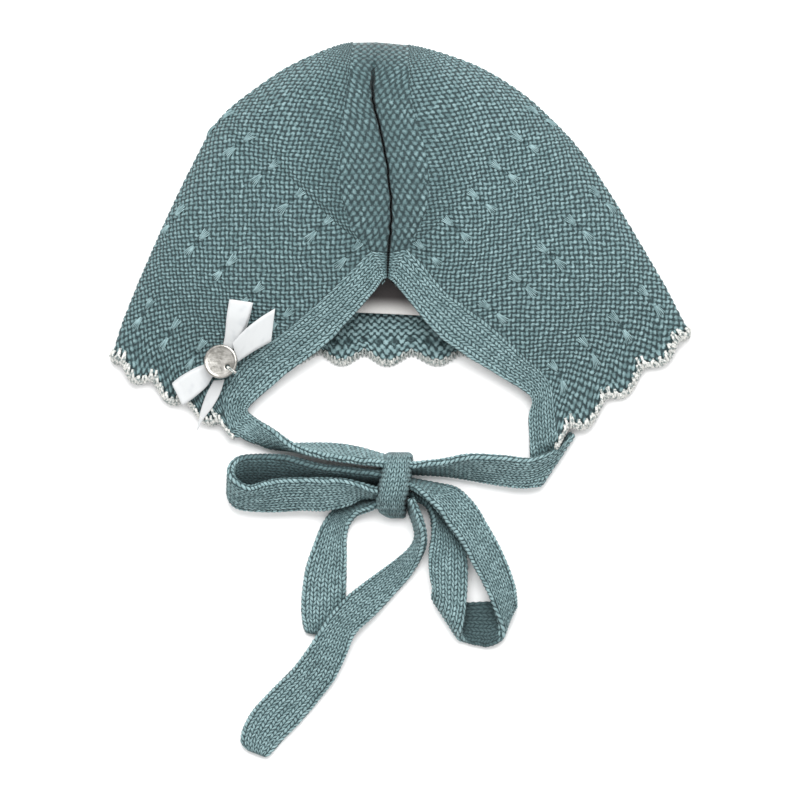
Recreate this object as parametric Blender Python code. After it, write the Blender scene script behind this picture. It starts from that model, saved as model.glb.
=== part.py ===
"""A baby's knitted bonnet, laid down on its brow side with its ties in a bow.

X runs across the bonnet, Y from the ties up to the crown and Z up from the surface it lies on.
Sizes are in millimetres until a mesh is made. A row of knitting is counted in ridges from the face edge,
and a place along a row in stitches from the neck edge.
"""

import math

import bmesh
import bpy
import numpy as np
from mathutils import Euler, Vector
from mathutils.bvhtree import BVHTree

MM = 0.001
GAP = 0.3

# Cloth
WALL = 2.4
BAND_THICK = 2.8
TIE_THICK = 2.6
TRIM_RADIUS = 1.15
TRIM_STEP = 1.7
RIBBON_THICK = 1.0
LABEL_THICK = 0.8

# Rows and stitches of the shell
NAPE = 40.0
CROWN = 66.0
TRIM_RIDGES = 1.1
NECK_RIDGES = (TRIM_RIDGES, 3.0, 5.5, 8.0, 11.0, 15.0, 19.5, 24.5, 30.0, 35.0, NAPE)
PANEL_RIDGES = (NAPE, 44.0, 48.0, 52.0, 56.0, 59.5, 62.5, 64.6, CROWN)
EDGE_STITCH = 21.5
MIDDLE_STITCH = 59.0
SCALLOP_START = 2.0
SCALLOP_STITCHES = 6.0
SCALLOP_DEPTH = 1.6
SCALLOP_FADE = 5.0
SCALLOP_CALM = 3.0
SCALLOP_ROUNDING = 0.75
SCALLOP_COLUMNS = 4
SCALLOP_LEVELS = 4

# The fold where the upper layer turns under
FOLD_RADIUS = 4.2
FOLD_RADIUS_GAIN = 0.8
SHOULDER = 11.0
UNDER_STRAIGHT_RIDGE = 52.0
ROW_SAMPLES = 241
ROW_CROWDING = 1.6
EDGE_STEP = 0.5
CROWN_HEART = (-8.5, 126.0, 9.0)
CROWN_GATHER = 0.9
CROWN_START = 122.0
CROWN_END = 136.0
BROW_MIDDLE_X = -5.6
CROWN_MIDDLE_X = -10.0

# The crease down the back panel
CREASE_HALF_GAP = 0.45
CREASE_DEEPEST = 12.0
CREASE_SPREAD = 1.5
PANEL_CAMBER = 1.5
CAMBER_RIDGES = 10.0
CREASE_REACH = 0.7
SEAM_SHARES = (0.0, 0.25)

ROW_COLUMNS = "ridge start_x start_y start_z bulge edge_x edge_y edge_z mid_y leave arrive".split()
RIGHT_ROWS = (
    (0.0, 62.4, -16.4, 9.0, -4.5, 115.0, 27.6, 8.2, 17.4, 38, 42),
    (4.0, 61.4, -3.2, 9.5, -2.5, 110.4, 36.4, 8.4, 27.0, 38, 43),
    (8.0, 59.0, 7.6, 10.5, 0.5, 105.2, 46.4, 8.8, 37.0, 39, 45),
    (11.0, 54.4, 12.8, 11.5, 2.5, 101.0, 53.6, 9.2, 43.0, 40, 46),
    (15.0, 48.0, 18.4, 13.0, 4.5, 95.6, 62.8, 9.6, 51.0, 42, 48),
    (23.0, 33.2, 32.0, 16.0, 6.0, 83.2, 83.2, 10.0, 66.0, 43, 52),
    (30.0, 19.6, 41.8, 19.0, 6.0, 71.6, 100.0, 11.0, 79.0, 38, 54),
    (38.0, 6.6, 56.2, 23.0, 6.0, 57.6, 114.8, 12.0, 93.4, 32, 56),
    (40.0, 2.4, 60.2, 24.0, 6.0, 53.8, 118.4, 12.0, 97.0, 32, 57),
    (42.0, 6.8, 67.6, 26.0, 5.0, 49.6, 121.8, 12.5, 100.6, 36, 59),
    (44.0, 9.6, 74.8, 27.0, 4.0, 45.2, 125.0, 13.0, 104.2, 42, 60),
    (50.0, 10.4, 96.8, 28.0, 3.0, 30.4, 133.6, 14.0, 115.0, 50, 68),
    (55.0, 5.2, 115.2, 27.0, 1.5, 17.6, 138.4, 15.0, 124.0, 65, 80),
    (60.0, 2.8, 131.6, 25.0, 0.5, 9.0, 140.9, 16.0, 133.0, 80, 88),
    (66.0, 3.2, 142.0, 20.0, 0.0, 3.2, 142.0, 16.0, 143.2, 90, 90),
)
LEFT_ROWS = (
    (0.0, -68.0, -13.2, 6.0, -2.5, -115.4, 17.6, 8.2, 17.4, 36, 38),
    (4.0, -71.4, -1.6, 7.5, -1.0, -112.0, 29.2, 8.4, 27.0, 37, 38),
    (8.0, -67.6, 8.8, 9.0, 1.0, -108.0, 39.6, 8.8, 37.0, 38, 38),
    (11.0, -63.6, 14.4, 10.5, 3.0, -105.0, 47.0, 9.2, 43.0, 38, 38),
    (15.0, -57.6, 19.2, 12.5, 5.0, -101.2, 55.8, 9.6, 51.0, 38, 39),
    (23.0, -44.8, 28.8, 16.0, 6.0, -93.4, 73.4, 10.0, 66.0, 38, 39),
    (30.0, -31.6, 40.4, 19.0, 6.0, -84.8, 91.2, 11.0, 79.0, 38, 41),
    (38.0, -16.6, 55.2, 23.0, 6.0, -73.4, 111.4, 12.0, 93.4, 36, 44),
    (40.0, -12.4, 59.6, 24.0, 6.0, -70.0, 115.2, 12.0, 97.0, 36, 46),
    (42.0, -18.8, 67.2, 26.0, 5.0, -66.2, 118.6, 12.5, 100.6, 40, 49),
    (44.0, -22.0, 74.8, 27.0, 4.0, -62.0, 121.8, 13.0, 104.2, 44, 52),
    (50.0, -24.4, 96.8, 28.0, 3.0, -46.0, 132.8, 14.0, 115.0, 55, 64),
    (55.0, -22.8, 115.2, 27.0, 1.5, -33.4, 138.8, 15.0, 124.0, 70, 78),
    (60.0, -20.4, 131.8, 25.0, 0.5, -24.8, 142.0, 16.0, 133.0, 80, 86),
    (66.0, -19.6, 143.0, 20.0, 0.0, -19.6, 143.0, 16.0, 143.2, 90, 90),
)
CREASE_COLUMNS = "ridge x y depth".split()
CREASE = (
    (40.0, -5.0, 58.8, 8.0),
    (44.0, -4.0, 74.8, 11.0),
    (50.0, -6.0, 96.8, 12.0),
    (54.0, -9.2, 111.6, 11.0),
    (57.0, -11.4, 121.8, 8.0),
    (61.0, -10.8, 134.0, 1.5),
    (66.0, -10.0, 143.2, 0.0),
)
# Distance from the crease, and drop as a share of the crease's depth
CREASE_PROFILE = ((4.2, 0.0), (2.2, 0.07), (0.9, 0.25), (CREASE_HALF_GAP, 0.62), (0.0, 1.0))

# The inner edge of the band round the opening: x, y, z of its middle surface, by ridge of the outer edge
OPENING_COLUMNS = "ridge x y z".split()
OPENING_RIGHT = (
    (0.0, 51.4, -18.4, 2.6),
    (4.0, 51.0, -6.4, 4.5),
    (7.0, 52.4, -0.6, 6.0),
    (10.0, 50.4, 2.6, 6.8),
    (14.0, 39.2, 9.6, 7.8),
    (18.0, 28.0, 16.4, 9.2),
    (24.0, 15.0, 25.6, 12.2),
    (31.0, 2.8, 40.0, 17.0),
    (39.0, -3.6, 47.6, 20.8),
)
OPENING_LEFT = (
    (0.0, -60.8, -5.0, 3.4),
    (4.0, -61.2, -3.4, 4.0),
    (7.0, -58.8, -0.8, 4.8),
    (10.0, -52.6, 4.6, 6.0),
    (14.0, -43.6, 12.2, 7.6),
    (18.0, -32.0, 20.4, 9.6),
    (24.0, -20.6, 32.0, 13.6),
    (31.0, -11.4, 42.4, 18.0),
    (39.0, -7.2, 48.2, 20.8),
)

# How far the tip of the opening stands above its two sides, and its share of the crease's drop
OPENING_TIP_RISE = 0.9
OPENING_CREASE_SHARE = 0.6

# Ties: each row is one section, with the middle of the cloth at its two edges
STRIP_COLUMNS = "ax ay az bx by bz".split()
TIE_RIGHT = (
    (51.4, -19.6, 2.5, 62.4, -17.9, 3.1),
    (51.8, -25.0, 1.6, 65.0, -17.0, 1.8),
    (53.2, -30.0, 1.5, 67.0, -16.2, 1.5),
    (55.2, -33.2, 2.2, 68.4, -14.6, 2.6),
    (54.4, -34.4, 4.2, 67.6, -14.8, 4.8),
    (51.0, -35.0, 5.0, 61.6, -20.4, 6.2),
    (45.0, -34.8, 4.6, 52.4, -23.4, 9.6),
    (35.6, -33.2, 3.6, 41.0, -22.6, 12.6),
    (26.0, -31.2, 2.8, 27.0, -22.2, 14.2),
    (16.4, -29.6, 2.4, 16.4, -24.4, 14.4),
    (4.9, -28.8, 2.4, 4.9, -25.8, 14.0),
)
TIE_LEFT = (
    (-66.1, -14.9, 4.1, -59.0, -6.7, 3.8),
    (-63.4, -15.0, 4.0, -56.4, -8.4, 5.2),
    (-58.6, -17.0, 3.0, -50.4, -12.2, 7.4),
    (-52.8, -18.6, 2.2, -44.4, -17.2, 11.0),
    (-46.0, -18.6, 1.6, -38.8, -20.2, 13.8),
    (-37.2, -18.2, 1.5, -31.4, -22.4, 14.8),
    (-28.0, -18.2, 1.5, -23.8, -23.8, 15.0),
    (-18.4, -19.4, 1.6, -16.2, -24.8, 14.8),
    (-7.9, -22.4, 1.8, -7.2, -25.8, 14.4),
)
LOOP_LEFT = (
    (-9.4, -29.0, 12.6, -9.8, -34.0, 2.0),
    (-21.6, -27.4, 12.6, -21.6, -36.2, 1.6),
    (-31.2, -26.2, 12.4, -31.2, -36.8, 1.5),
    (-39.2, -24.2, 12.0, -39.2, -36.6, 1.5),
    (-46.6, -22.4, 11.4, -46.4, -36.0, 1.5),
    (-56.8, -22.0, 10.6, -56.8, -35.2, 1.5),
    (-64.4, -22.8, 10.2, -64.4, -34.8, 1.6),
    (-67.6, -25.6, 10.2, -67.8, -36.2, 2.0),
    (-67.8, -29.2, 10.8, -68.2, -39.8, 3.0),
    (-65.4, -32.6, 12.0, -66.0, -42.6, 3.8),
    (-60.4, -34.6, 12.8, -62.0, -43.8, 4.4),
    (-54.4, -32.8, 13.2, -51.2, -44.4, 4.8),
    (-46.4, -31.6, 13.4, -40.0, -43.8, 5.2),
    (-33.2, -31.4, 13.6, -30.4, -44.0, 6.2),
    (-22.8, -31.8, 13.8, -20.6, -41.8, 7.4),
    (-15.8, -33.6, 13.8, -15.8, -39.0, 7.6),
    (-10.6, -35.4, 13.6, -11.2, -38.8, 7.0),
)
LOOP_RIGHT = (
    (4.7, -32.2, 6.4, 4.4, -34.8, 13.6),
    (14.0, -33.6, 7.0, 9.4, -38.8, 13.6),
    (21.6, -35.0, 7.4, 14.6, -44.0, 13.2),
    (28.0, -40.0, 7.4, 19.4, -50.8, 12.0),
    (34.0, -49.0, 7.4, 24.8, -58.0, 11.0),
    (38.8, -57.6, 7.4, 28.4, -65.2, 10.0),
    (43.2, -67.4, 7.4, 32.2, -72.0, 9.2),
    (45.8, -75.4, 7.2, 35.4, -78.8, 8.4),
    (46.2, -79.8, 6.0, 37.8, -85.2, 7.4),
    (45.6, -82.0, 3.8, 39.8, -91.6, 6.0),
    (42.6, -81.4, 2.0, 39.6, -96.4, 3.6),
    (36.8, -80.8, 1.5, 35.0, -98.6, 1.8),
    (27.6, -81.0, 1.5, 31.4, -98.2, 1.5),
    (20.2, -81.0, 1.5, 28.0, -97.6, 1.6),
    (14.6, -80.2, 2.2, 25.4, -96.6, 2.4),
    (12.0, -79.0, 4.2, 23.4, -95.2, 4.6),
    (12.6, -76.0, 6.3, 24.4, -92.2, 6.8),
    (11.4, -70.0, 6.8, 25.8, -83.5, 6.6),
    (11.2, -61.2, 6.6, 26.6, -68.0, 5.8),
    (12.2, -54.0, 6.8, 25.0, -56.6, 4.4),
    (12.0, -47.0, 7.4, 20.4, -47.4, 3.2),
    (9.8, -41.8, 7.8, 14.4, -41.2, 2.4),
    (4.4, -38.4, 8.0, 5.6, -37.0, 2.0),
)
END_SHORT = (
    (-11.0, -39.8, 2.0, -10.0, -42.4, 8.6),
    (-16.8, -40.6, 1.8, -14.0, -44.4, 7.4),
    (-22.6, -42.0, 1.6, -18.0, -46.4, 5.2),
    (-28.0, -44.8, 1.5, -20.8, -50.4, 3.2),
    (-31.6, -50.0, 1.5, -21.8, -55.6, 1.9),
    (-35.2, -58.6, 1.5, -21.8, -62.0, 1.5),
    (-38.2, -68.0, 1.5, -22.0, -70.4, 1.5),
    (-39.6, -78.8, 1.5, -22.4, -80.0, 1.5),
    (-39.6, -86.0, 1.5, -23.6, -87.6, 1.5),
    (-38.4, -93.2, 1.5, -25.8, -95.2, 1.5),
)
END_LONG = (
    (3.4, -43.0, 1.6, 4.6, -40.6, 13.4),
    (4.6, -46.4, 1.5, 6.6, -44.6, 13.2),
    (5.8, -50.0, 1.5, 8.0, -48.4, 12.2),
    (6.4, -54.6, 1.5, 9.2, -53.4, 10.4),
    (4.0, -59.0, 1.5, 9.4, -58.4, 7.6),
    (-2.0, -63.8, 1.5, 7.8, -63.6, 4.8),
    (-9.0, -68.8, 2.2, 3.6, -70.6, 2.6),
    (-16.0, -74.0, 3.8, -3.0, -78.0, 2.4),
    (-22.6, -79.6, 4.9, -10.0, -85.6, 3.6),
    (-30.4, -88.8, 5.0, -18.0, -93.2, 4.7),
    (-36.8, -98.8, 4.6, -21.8, -101.6, 4.4),
    (-43.2, -107.4, 3.0, -26.2, -110.8, 2.8),
    (-51.2, -115.4, 1.6, -32.6, -119.6, 1.6),
    (-59.0, -123.8, 1.5, -39.8, -128.2, 1.5),
    (-63.0, -131.0, 1.5, -47.2, -135.8, 1.5),
    (-64.0, -136.4, 1.5, -51.0, -140.2, 1.5),
    (-62.0, -140.0, 1.5, -53.6, -143.2, 1.5),
)

# The knot: half width, height and middle of each section from its top end to its foot
KNOT_COLUMNS = "y x half_width height".split()
KNOT = (
    (-20.8, -0.8, 5.4, 6.0),
    (-23.0, -1.2, 5.8, 12.6),
    (-26.4, -1.6, 6.2, 16.4),
    (-31.0, -2.2, 6.4, 17.6),
    (-36.0, -3.0, 6.6, 17.0),
    (-40.6, -4.0, 6.2, 14.8),
    (-44.4, -3.4, 5.4, 11.0),
    (-47.4, -1.6, 3.6, 5.6),
)
KNOT_SIDES = 6
KNOT_SQUARENESS = (0.45, 0.6)
KNOT_FOOT = 0.2

# A strip's sides: how far its shoulder stands in from the edge, and the edge's share of the thickness
STRIP_SHOULDER = 0.8
STRIP_EDGE_SHARE = 0.4
BAND_SHARES = (0.0, 0.33, 0.67, 1.0)

# The satin bow: each row is one section, with x and y of its edges and the height above the knitting
RIBBON_COLUMNS = "ax ay bx by lift".split()
RIBBON_LOOP_UPPER = (
    (-71.6, 20.4, -67.0, 21.0, 1.2),
    (-70.2, 26.0, -62.6, 27.0, 1.2),
    (-69.4, 33.0, -60.4, 33.4, 1.2),
    (-68.8, 39.0, -59.4, 37.8, 1.4),
    (-68.6, 40.0, -59.2, 38.6, 2.6),
    (-68.8, 39.4, -59.4, 38.0, 3.8),
    (-69.8, 33.0, -61.6, 31.6, 3.6),
    (-70.4, 26.0, -64.6, 24.8, 2.6),
    (-71.4, 21.0, -67.6, 19.8, 2.3),
)
RIBBON_LOOP_LOWER = (
    (-77.4, 14.6, -75.0, 10.2, 0.9),
    (-82.0, 13.0, -78.0, 5.6, 0.9),
    (-88.0, 9.6, -84.0, 0.4, 1.0),
    (-91.0, 7.2, -86.8, -1.6, 1.5),
    (-91.4, 6.6, -87.2, -2.0, 2.6),
    (-90.8, 6.8, -86.6, -1.8, 3.7),
    (-86.0, 10.4, -82.0, 1.6, 3.5),
    (-81.0, 12.8, -77.6, 5.6, 2.6),
    (-77.6, 14.2, -75.2, 9.6, 2.3),
)
RIBBON_END_UPPER = (
    (-67.4, 22.8, -65.6, 15.0, 3.8),
    (-62.8, 27.8, -60.0, 18.8, 4.2),
    (-56.8, 32.6, -55.2, 21.6, 4.4),
    (-50.4, 36.6, -52.0, 23.4, 3.6),
)
RIBBON_END_LOWER = (
    (-75.0, 7.8, -70.6, 8.2, 0.9),
    (-78.0, 2.0, -72.2, 3.0, 1.0),
    (-80.2, -4.6, -75.2, -2.6, 1.1),
    (-81.6, -12.0, -79.8, -8.6, 0.4),
)

# The button lies on the crossing of the bow
BUTTON_X = -72.1
BUTTON_Y = 15.4
BUTTON_LIFT = 6.8
BUTTON_RADIUS = 6.8
BUTTON_THICK = 1.5
BUTTON_ROUNDING = 0.3
BUTTON_SIDES = 28
BUTTON_TILT = (math.radians(-4), math.radians(-12))
HOLE_RADIUS = 0.85
HOLE_SIDES = 12
HOLE_OFFSET = 3.6
HOLE_ANGLE = math.radians(-37)
THREAD_RADIUS = 0.45

# The label hangs from the nape inside the bonnet: y and z of its sections, from its foot up
LABEL_MIDDLE_X = -4.6
LABEL_WIDTH = 34.0
LABEL_TILT = 1.6
LABEL = ((34.4, 6.8), (41.0, 9.2), (47.6, 12.2), (53.0, 14.6))

YARN = (0.21, 0.37, 0.38, 1.0)
PALE_YARN = (0.80, 0.79, 0.76, 1.0)
SATIN = (0.90, 0.91, 0.93, 1.0)
METAL = (0.62, 0.58, 0.53, 1.0)
LABEL_WHITE = (0.85, 0.85, 0.84, 1.0)


def clear_scene():
    for item in list(bpy.data.objects):
        bpy.data.objects.remove(item, do_unlink=True)


def material(name, colour, roughness, metallic=0.0):
    made = bpy.data.materials.new(name)
    made.use_nodes = True
    shader = made.node_tree.nodes["Principled BSDF"]
    shader.inputs["Base Color"].default_value = colour
    shader.inputs["Roughness"].default_value = roughness
    shader.inputs["Metallic"].default_value = metallic
    return made


def curve_through(places, known, values):
    """A smooth curve through the table's values, its slope at each one taken from its neighbours."""
    known = np.asarray(known, float)
    values = np.asarray(values, float)
    places = np.asarray(places, float)
    slopes = np.gradient(values, known)
    index = np.clip(np.searchsorted(known, places, side="right") - 1, 0, len(known) - 2)
    span = known[index + 1] - known[index]
    inside = np.clip(places, known[0], known[-1])
    t = (inside - known[index]) / span
    rise = values[index + 1] - values[index]
    curve = (
        values[index]
        + t * span * slopes[index]
        + t * t * (3 * rise - span * (2 * slopes[index] + slopes[index + 1]))
        + t * t * t * (span * (slopes[index] + slopes[index + 1]) - 2 * rise)
    )
    end_slope = np.where(places > known[-1], slopes[-1], slopes[0])
    return curve + (places - inside) * end_slope


def column(table, names, name):
    return [row[names.index(name)] for row in table]


def row_value(rows, name, ridge):
    """A value of the row table at a ridge. The neck edge has a corner at the nape, the rest is smooth."""
    part = rows
    if name in ("start_x", "start_y"):
        part = [r for r in rows if (r[0] <= NAPE if ridge <= NAPE else r[0] >= NAPE)]
    return float(curve_through(ridge, column(part, ROW_COLUMNS, "ridge"), column(part, ROW_COLUMNS, name)))


def outline():
    """Points of the outline, where the upper layer turns under, from the right corner over the crown."""
    ridges = np.linspace(-2.0, CROWN, 160)
    halves = []
    for rows in (RIGHT_ROWS, LEFT_ROWS):
        halves.append([(row_value(rows, "edge_x", r), row_value(rows, "edge_y", r)) for r in ridges])
    return np.array(halves[0] + halves[1][::-1])


OUTLINE = outline()


def bezier(points, t):
    a, b, c, d = (np.asarray(p, float) for p in points)
    t = t[:, None]
    return a * (1 - t) ** 3 + 3 * b * t * (1 - t) ** 2 + 3 * c * t * t * (1 - t) + d * t**3


def inset_from_outline(plan):
    """Distance of each point of the plan from the outline."""
    return np.min(np.linalg.norm(plan[:, None, :] - OUTLINE[None, :, :], axis=2), axis=1)


def along(points, shares):
    """Points at the given shares of a line's length."""
    steps = np.linalg.norm(np.diff(points, axis=0), axis=1)
    length = np.concatenate(([0.0], np.cumsum(steps)))
    wanted = np.asarray(shares) * length[-1]
    return np.stack([np.interp(wanted, length, points[:, i]) for i in range(3)], axis=1)


def knit_row(rows, ridge, upper_shares, lower_shares):
    """One row of knitting: over the upper layer to the outline, then under to the brow's middle."""
    v = {name: row_value(rows, name, ridge) for name in ROW_COLUMNS[1:]}
    side = 1.0 if rows is RIGHT_ROWS else -1.0
    start = np.array((v["start_x"], v["start_y"]))
    edge = np.array((v["edge_x"], v["edge_y"]))
    middles = column(RIGHT_ROWS, ROW_COLUMNS, "mid_y")
    crown_share = (v["mid_y"] - middles[0]) / (middles[-1] - middles[0])
    middle = np.array((BROW_MIDDLE_X + (CROWN_MIDDLE_X - BROW_MIDDLE_X) * crown_share, v["mid_y"]))
    angles = [math.radians(v[name]) for name in ("leave", "arrive")]
    leave, arrive = (np.array((side * math.cos(angle), math.sin(angle))) for angle in angles)
    t = 1 - (1 - np.linspace(0, 1, ROW_SAMPLES)) ** ROW_CROWDING
    reach = np.linalg.norm(edge - start)
    upper = bezier((start, start + leave * reach / 3, edge - arrive * reach / 3, edge), t)
    radius = FOLD_RADIUS + FOLD_RADIUS_GAIN * max(ridge, 0.0) / CROWN
    inset = inset_from_outline(upper)
    inset[-1] = 0.0
    top = v["start_z"] * (1 - t) + v["edge_z"] * t + v["bulge"] * 4 * t * (1 - t)
    shoulder = np.sqrt(1 - (1 - np.clip(inset / SHOULDER, 0, 1)) ** 2)
    upper = np.column_stack((upper, radius + (top - radius) * shoulder))

    before, after = (
        (row_value(rows, "edge_x", level), row_value(rows, "edge_y", level))
        for level in (ridge - EDGE_STEP, min(ridge + EDGE_STEP, CROWN))
    )
    tangent = np.subtract(after, before)
    tangent = tangent / np.linalg.norm(tangent)
    turned = 2 * arrive.dot(tangent) * tangent - arrive
    fade = 1 - np.clip((ridge - UNDER_STRAIGHT_RIDGE) / (CROWN - UNDER_STRAIGHT_RIDGE), 0, 1) ** 2
    reach = np.linalg.norm(middle - edge)
    t = np.linspace(0, 1, ROW_SAMPLES) ** ROW_CROWDING
    inward = np.array((-side, 0.0))
    lower = bezier((edge, edge + turned * reach * fade / 3, middle - inward * reach * fade / 3, middle), t)
    inset = inset_from_outline(lower)
    inset[0] = 0.0
    if ridge >= CROWN:
        inset[:] = 0.0
    under = radius * (1 - np.sqrt(1 - (1 - np.clip(inset / radius, 0, 1)) ** 2))
    lower = np.column_stack((lower, under))
    return np.vstack((along(upper, upper_shares), along(lower, lower_shares)[1:]))


def scallop(stitches):
    """0 at the notch between two scallops and 1 at the foot of one."""
    stitches = np.asarray(stitches)
    turn = (stitches - SCALLOP_START) / SCALLOP_STITCHES
    wave = (0.5 - 0.5 * np.cos(2 * np.pi * turn)) ** SCALLOP_ROUNDING
    calm = np.clip(abs(stitches - EDGE_STITCH) / SCALLOP_CALM, 0, 1)
    return 0.5 + (wave - 0.5) * calm


def half_sheet(rows, ridges, stitches):
    """A grid of points of one half of the shell, a row for each ridge and a column for each stitch place."""
    stitches = np.asarray(stitches, float)
    upper = stitches[stitches <= EDGE_STITCH] / EDGE_STITCH
    lower = (stitches[stitches >= EDGE_STITCH] - EDGE_STITCH) / (MIDDLE_STITCH - EDGE_STITCH)
    wave = scallop(stitches)
    grid = []
    for ridge in ridges:
        fade = max(0.0, 1 - ridge / SCALLOP_FADE) ** 2
        if fade == 0.0:
            grid.append(knit_row(rows, ridge, upper, lower))
            continue
        levels = ridge - SCALLOP_DEPTH * fade * np.linspace(0, 1, SCALLOP_LEVELS)
        stack = np.array([knit_row(rows, level, upper, lower) for level in levels])
        place = wave * (SCALLOP_LEVELS - 1)
        index = np.minimum(place.astype(int), SCALLOP_LEVELS - 2)
        share = (place - index)[:, None]
        columns = np.arange(len(stitches))
        grid.append(stack[index, columns] * (1 - share) + stack[index + 1, columns] * share)
    return np.array(grid)


def panel_sheet(ridges, right_seam, left_seam):
    """The back panel between its two seams, with the crease down its middle."""
    grid = []
    for ridge, right, left in zip(ridges, right_seam, left_seam):
        values = [float(curve_through(ridge, column(CREASE, CREASE_COLUMNS, "ridge"),
                                      column(CREASE, CREASE_COLUMNS, name))) for name in CREASE_COLUMNS[1:]]
        depth = max(values[2], 0.0)
        camber = PANEL_CAMBER * min(1.0, (CROWN - ridge) / CAMBER_RIDGES)
        top = np.array((values[0], values[1], (right[2] + left[2]) / 2 + camber))
        halves = []
        for seam in (right, left):
            width = np.linalg.norm((seam - top)[:2])
            points = []
            for share in SEAM_SHARES:
                line = seam + (top - seam) * share
                line[2] += camber * 0.5 * math.sin(math.pi * share)
                points.append(line)
            widest = CREASE_REACH * width / CREASE_PROFILE[0][0]
            spread = min(1 + (1 - depth / CREASE_DEEPEST) * CREASE_SPREAD, widest)
            for away, drop in CREASE_PROFILE:
                away = away * spread
                line = top + (seam - top) * away / width
                line[2] -= drop * depth
                points.append(line)
            halves.append(points)
        grid.append(halves[0] + halves[1][-2::-1])
    return np.array(grid)


def add_grid(mesh, grid):
    """Adds a grid of points to a bmesh, with a face for each cell."""
    made = [[mesh.verts.new(point * MM) for point in row] for row in grid]
    for lower, upper in zip(made, made[1:]):
        for i in range(len(lower) - 1):
            mesh.faces.new((lower[i], lower[i + 1], upper[i + 1], upper[i]))


def finish_object(name, mesh, look):
    """Turns a closed bmesh into a named object."""
    bmesh.ops.recalc_face_normals(mesh, faces=mesh.faces)
    data = bpy.data.meshes.new(name)
    mesh.to_mesh(data)
    mesh.free()
    data.materials.append(look)
    data.shade_smooth()
    made = bpy.data.objects.new(name, data)
    bpy.context.collection.objects.link(made)
    return made


def solid_sheet(mesh, thickness, given=None):
    """Gives a sheet its thickness, away from its face. given holds the way down at some of its points."""
    mesh.normal_update()
    given = given or {}
    outer = list(mesh.verts)
    inner = {}
    for vert in outer:
        way = given.get(vert, vert.normal)
        inner[vert] = mesh.verts.new(vert.co - way * thickness * MM)
    rim = [edge for edge in mesh.edges if len(edge.link_faces) == 1]
    faces = list(mesh.faces)
    for edge in rim:
        loop = edge.link_loops[0]
        one, two = loop.vert, loop.link_loop_next.vert
        mesh.faces.new((two, one, inner[one], inner[two]))
    for face in faces:
        mesh.faces.new([inner[vert] for vert in reversed(face.verts)])


def body_stitches():
    """Stitch places of the shell's columns, closer together at the fold."""
    step = SCALLOP_STITCHES / SCALLOP_COLUMNS
    places = [0.0] + list(np.arange(SCALLOP_START, MIDDLE_STITCH + 0.01, step))
    places += [EDGE_STITCH - step / 2, EDGE_STITCH + step / 2]
    return np.array(sorted(places))


def crown_row(side, across, first_lower):
    """Ties the last row of a side to the panel's top edge, which it meets point for point."""
    side[-1][:first_lower] = across[0]
    count = len(side[-1]) - 1 - first_lower
    for j in range(first_lower, len(side[-1])):
        side[-1][j] = across[round((j - first_lower) / count * (len(across) - 1))]


def hat_body(look):
    """The shell: two sides that go under to the brow, and the creased panel between them."""
    ridges = NECK_RIDGES + PANEL_RIDGES[1:]
    stitches = body_stitches()
    right, left = (half_sheet(rows, ridges, stitches) for rows in (RIGHT_ROWS, LEFT_ROWS))
    nape = ridges.index(NAPE)
    panel = panel_sheet(PANEL_RIDGES, right[nape:, 0], left[nape:, 0])
    middle = len(panel[-1]) // 2
    first_lower = int(np.argmin(abs(stitches - EDGE_STITCH)))
    crown_row(right, panel[-1][: middle + 1], first_lower)
    crown_row(left, panel[-1][: middle - 1 : -1], first_lower)
    mesh = bmesh.new()
    add_grid(mesh, right)
    add_grid(mesh, left[:, ::-1])
    add_grid(mesh, panel)
    bmesh.ops.remove_doubles(mesh, verts=mesh.verts, dist=0.02 * MM)
    bmesh.ops.dissolve_degenerate(mesh, edges=mesh.edges, dist=0.01 * MM)
    bmesh.ops.recalc_face_normals(mesh, faces=mesh.faces)
    point_up_at(mesh, right[nape // 2, 1])
    surface = BVHTree.FromBMesh(mesh)
    neck_line = list(right[: nape + 1, 0]) + list(panel[0][1:-1]) + list(left[nape::-1, 0])
    face_line = list(right[0]) + list(left[0][-2::-1])
    neck_ways = [nearest_normal(mesh, point) for point in neck_line]
    face_ways = [nearest_normal(mesh, point) for point in face_line]
    given = level_nape(mesh, panel[0])
    gather_crown(mesh, given)
    solid_sheet(mesh, WALL, given)
    finish_object("hat_body", mesh, look)
    return list(zip(face_line, face_ways)), list(zip(neck_line, neck_ways)), surface


def level_nape(mesh, row):
    """Ways through the sheet along the panel's lower edge, kept square to the bonnet's length."""
    given = {}
    for point in row[1:-1]:
        place = Vector(point * MM)
        vert = min(mesh.verts, key=lambda v: (v.co - place).length)
        given[vert] = Vector((vert.normal.x, 0, vert.normal.z)).normalized()
    return given


def gather_crown(mesh, given):
    """Turns the ways through the wall toward one inner point at the crown, so that the inside stays even."""
    for vert in mesh.verts:
        share = (vert.co.y / MM - CROWN_START) / (CROWN_END - CROWN_START)
        if share > 0 and vert not in given:
            radial = (vert.co - Vector(CROWN_HEART) * MM).normalized()
            given[vert] = vert.normal.lerp(radial, min(share, 1.0) * CROWN_GATHER).normalized()


def nearest_normal(mesh, point):
    """Direction out of a sheet at its point nearest to a place."""
    place = Vector(point * MM)
    mesh.normal_update()
    return min(mesh.verts, key=lambda vert: (vert.co - place).length).normal.copy()


def point_up_at(mesh, point):
    """Turns a sheet's faces over where the one nearest to a place looks down."""
    if nearest_normal(mesh, point).z < 0:
        bmesh.ops.reverse_faces(mesh, faces=mesh.faces)


def opening_point(table, ridge):
    """A point of the band's inner edge, on its outer surface."""
    ridges = column(table, OPENING_COLUMNS, "ridge")
    values = [float(curve_through(ridge, ridges, column(table, OPENING_COLUMNS, name)))
              for name in OPENING_COLUMNS[1:]]
    return np.array(values) + np.array((0, 0, BAND_THICK / 2))


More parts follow.
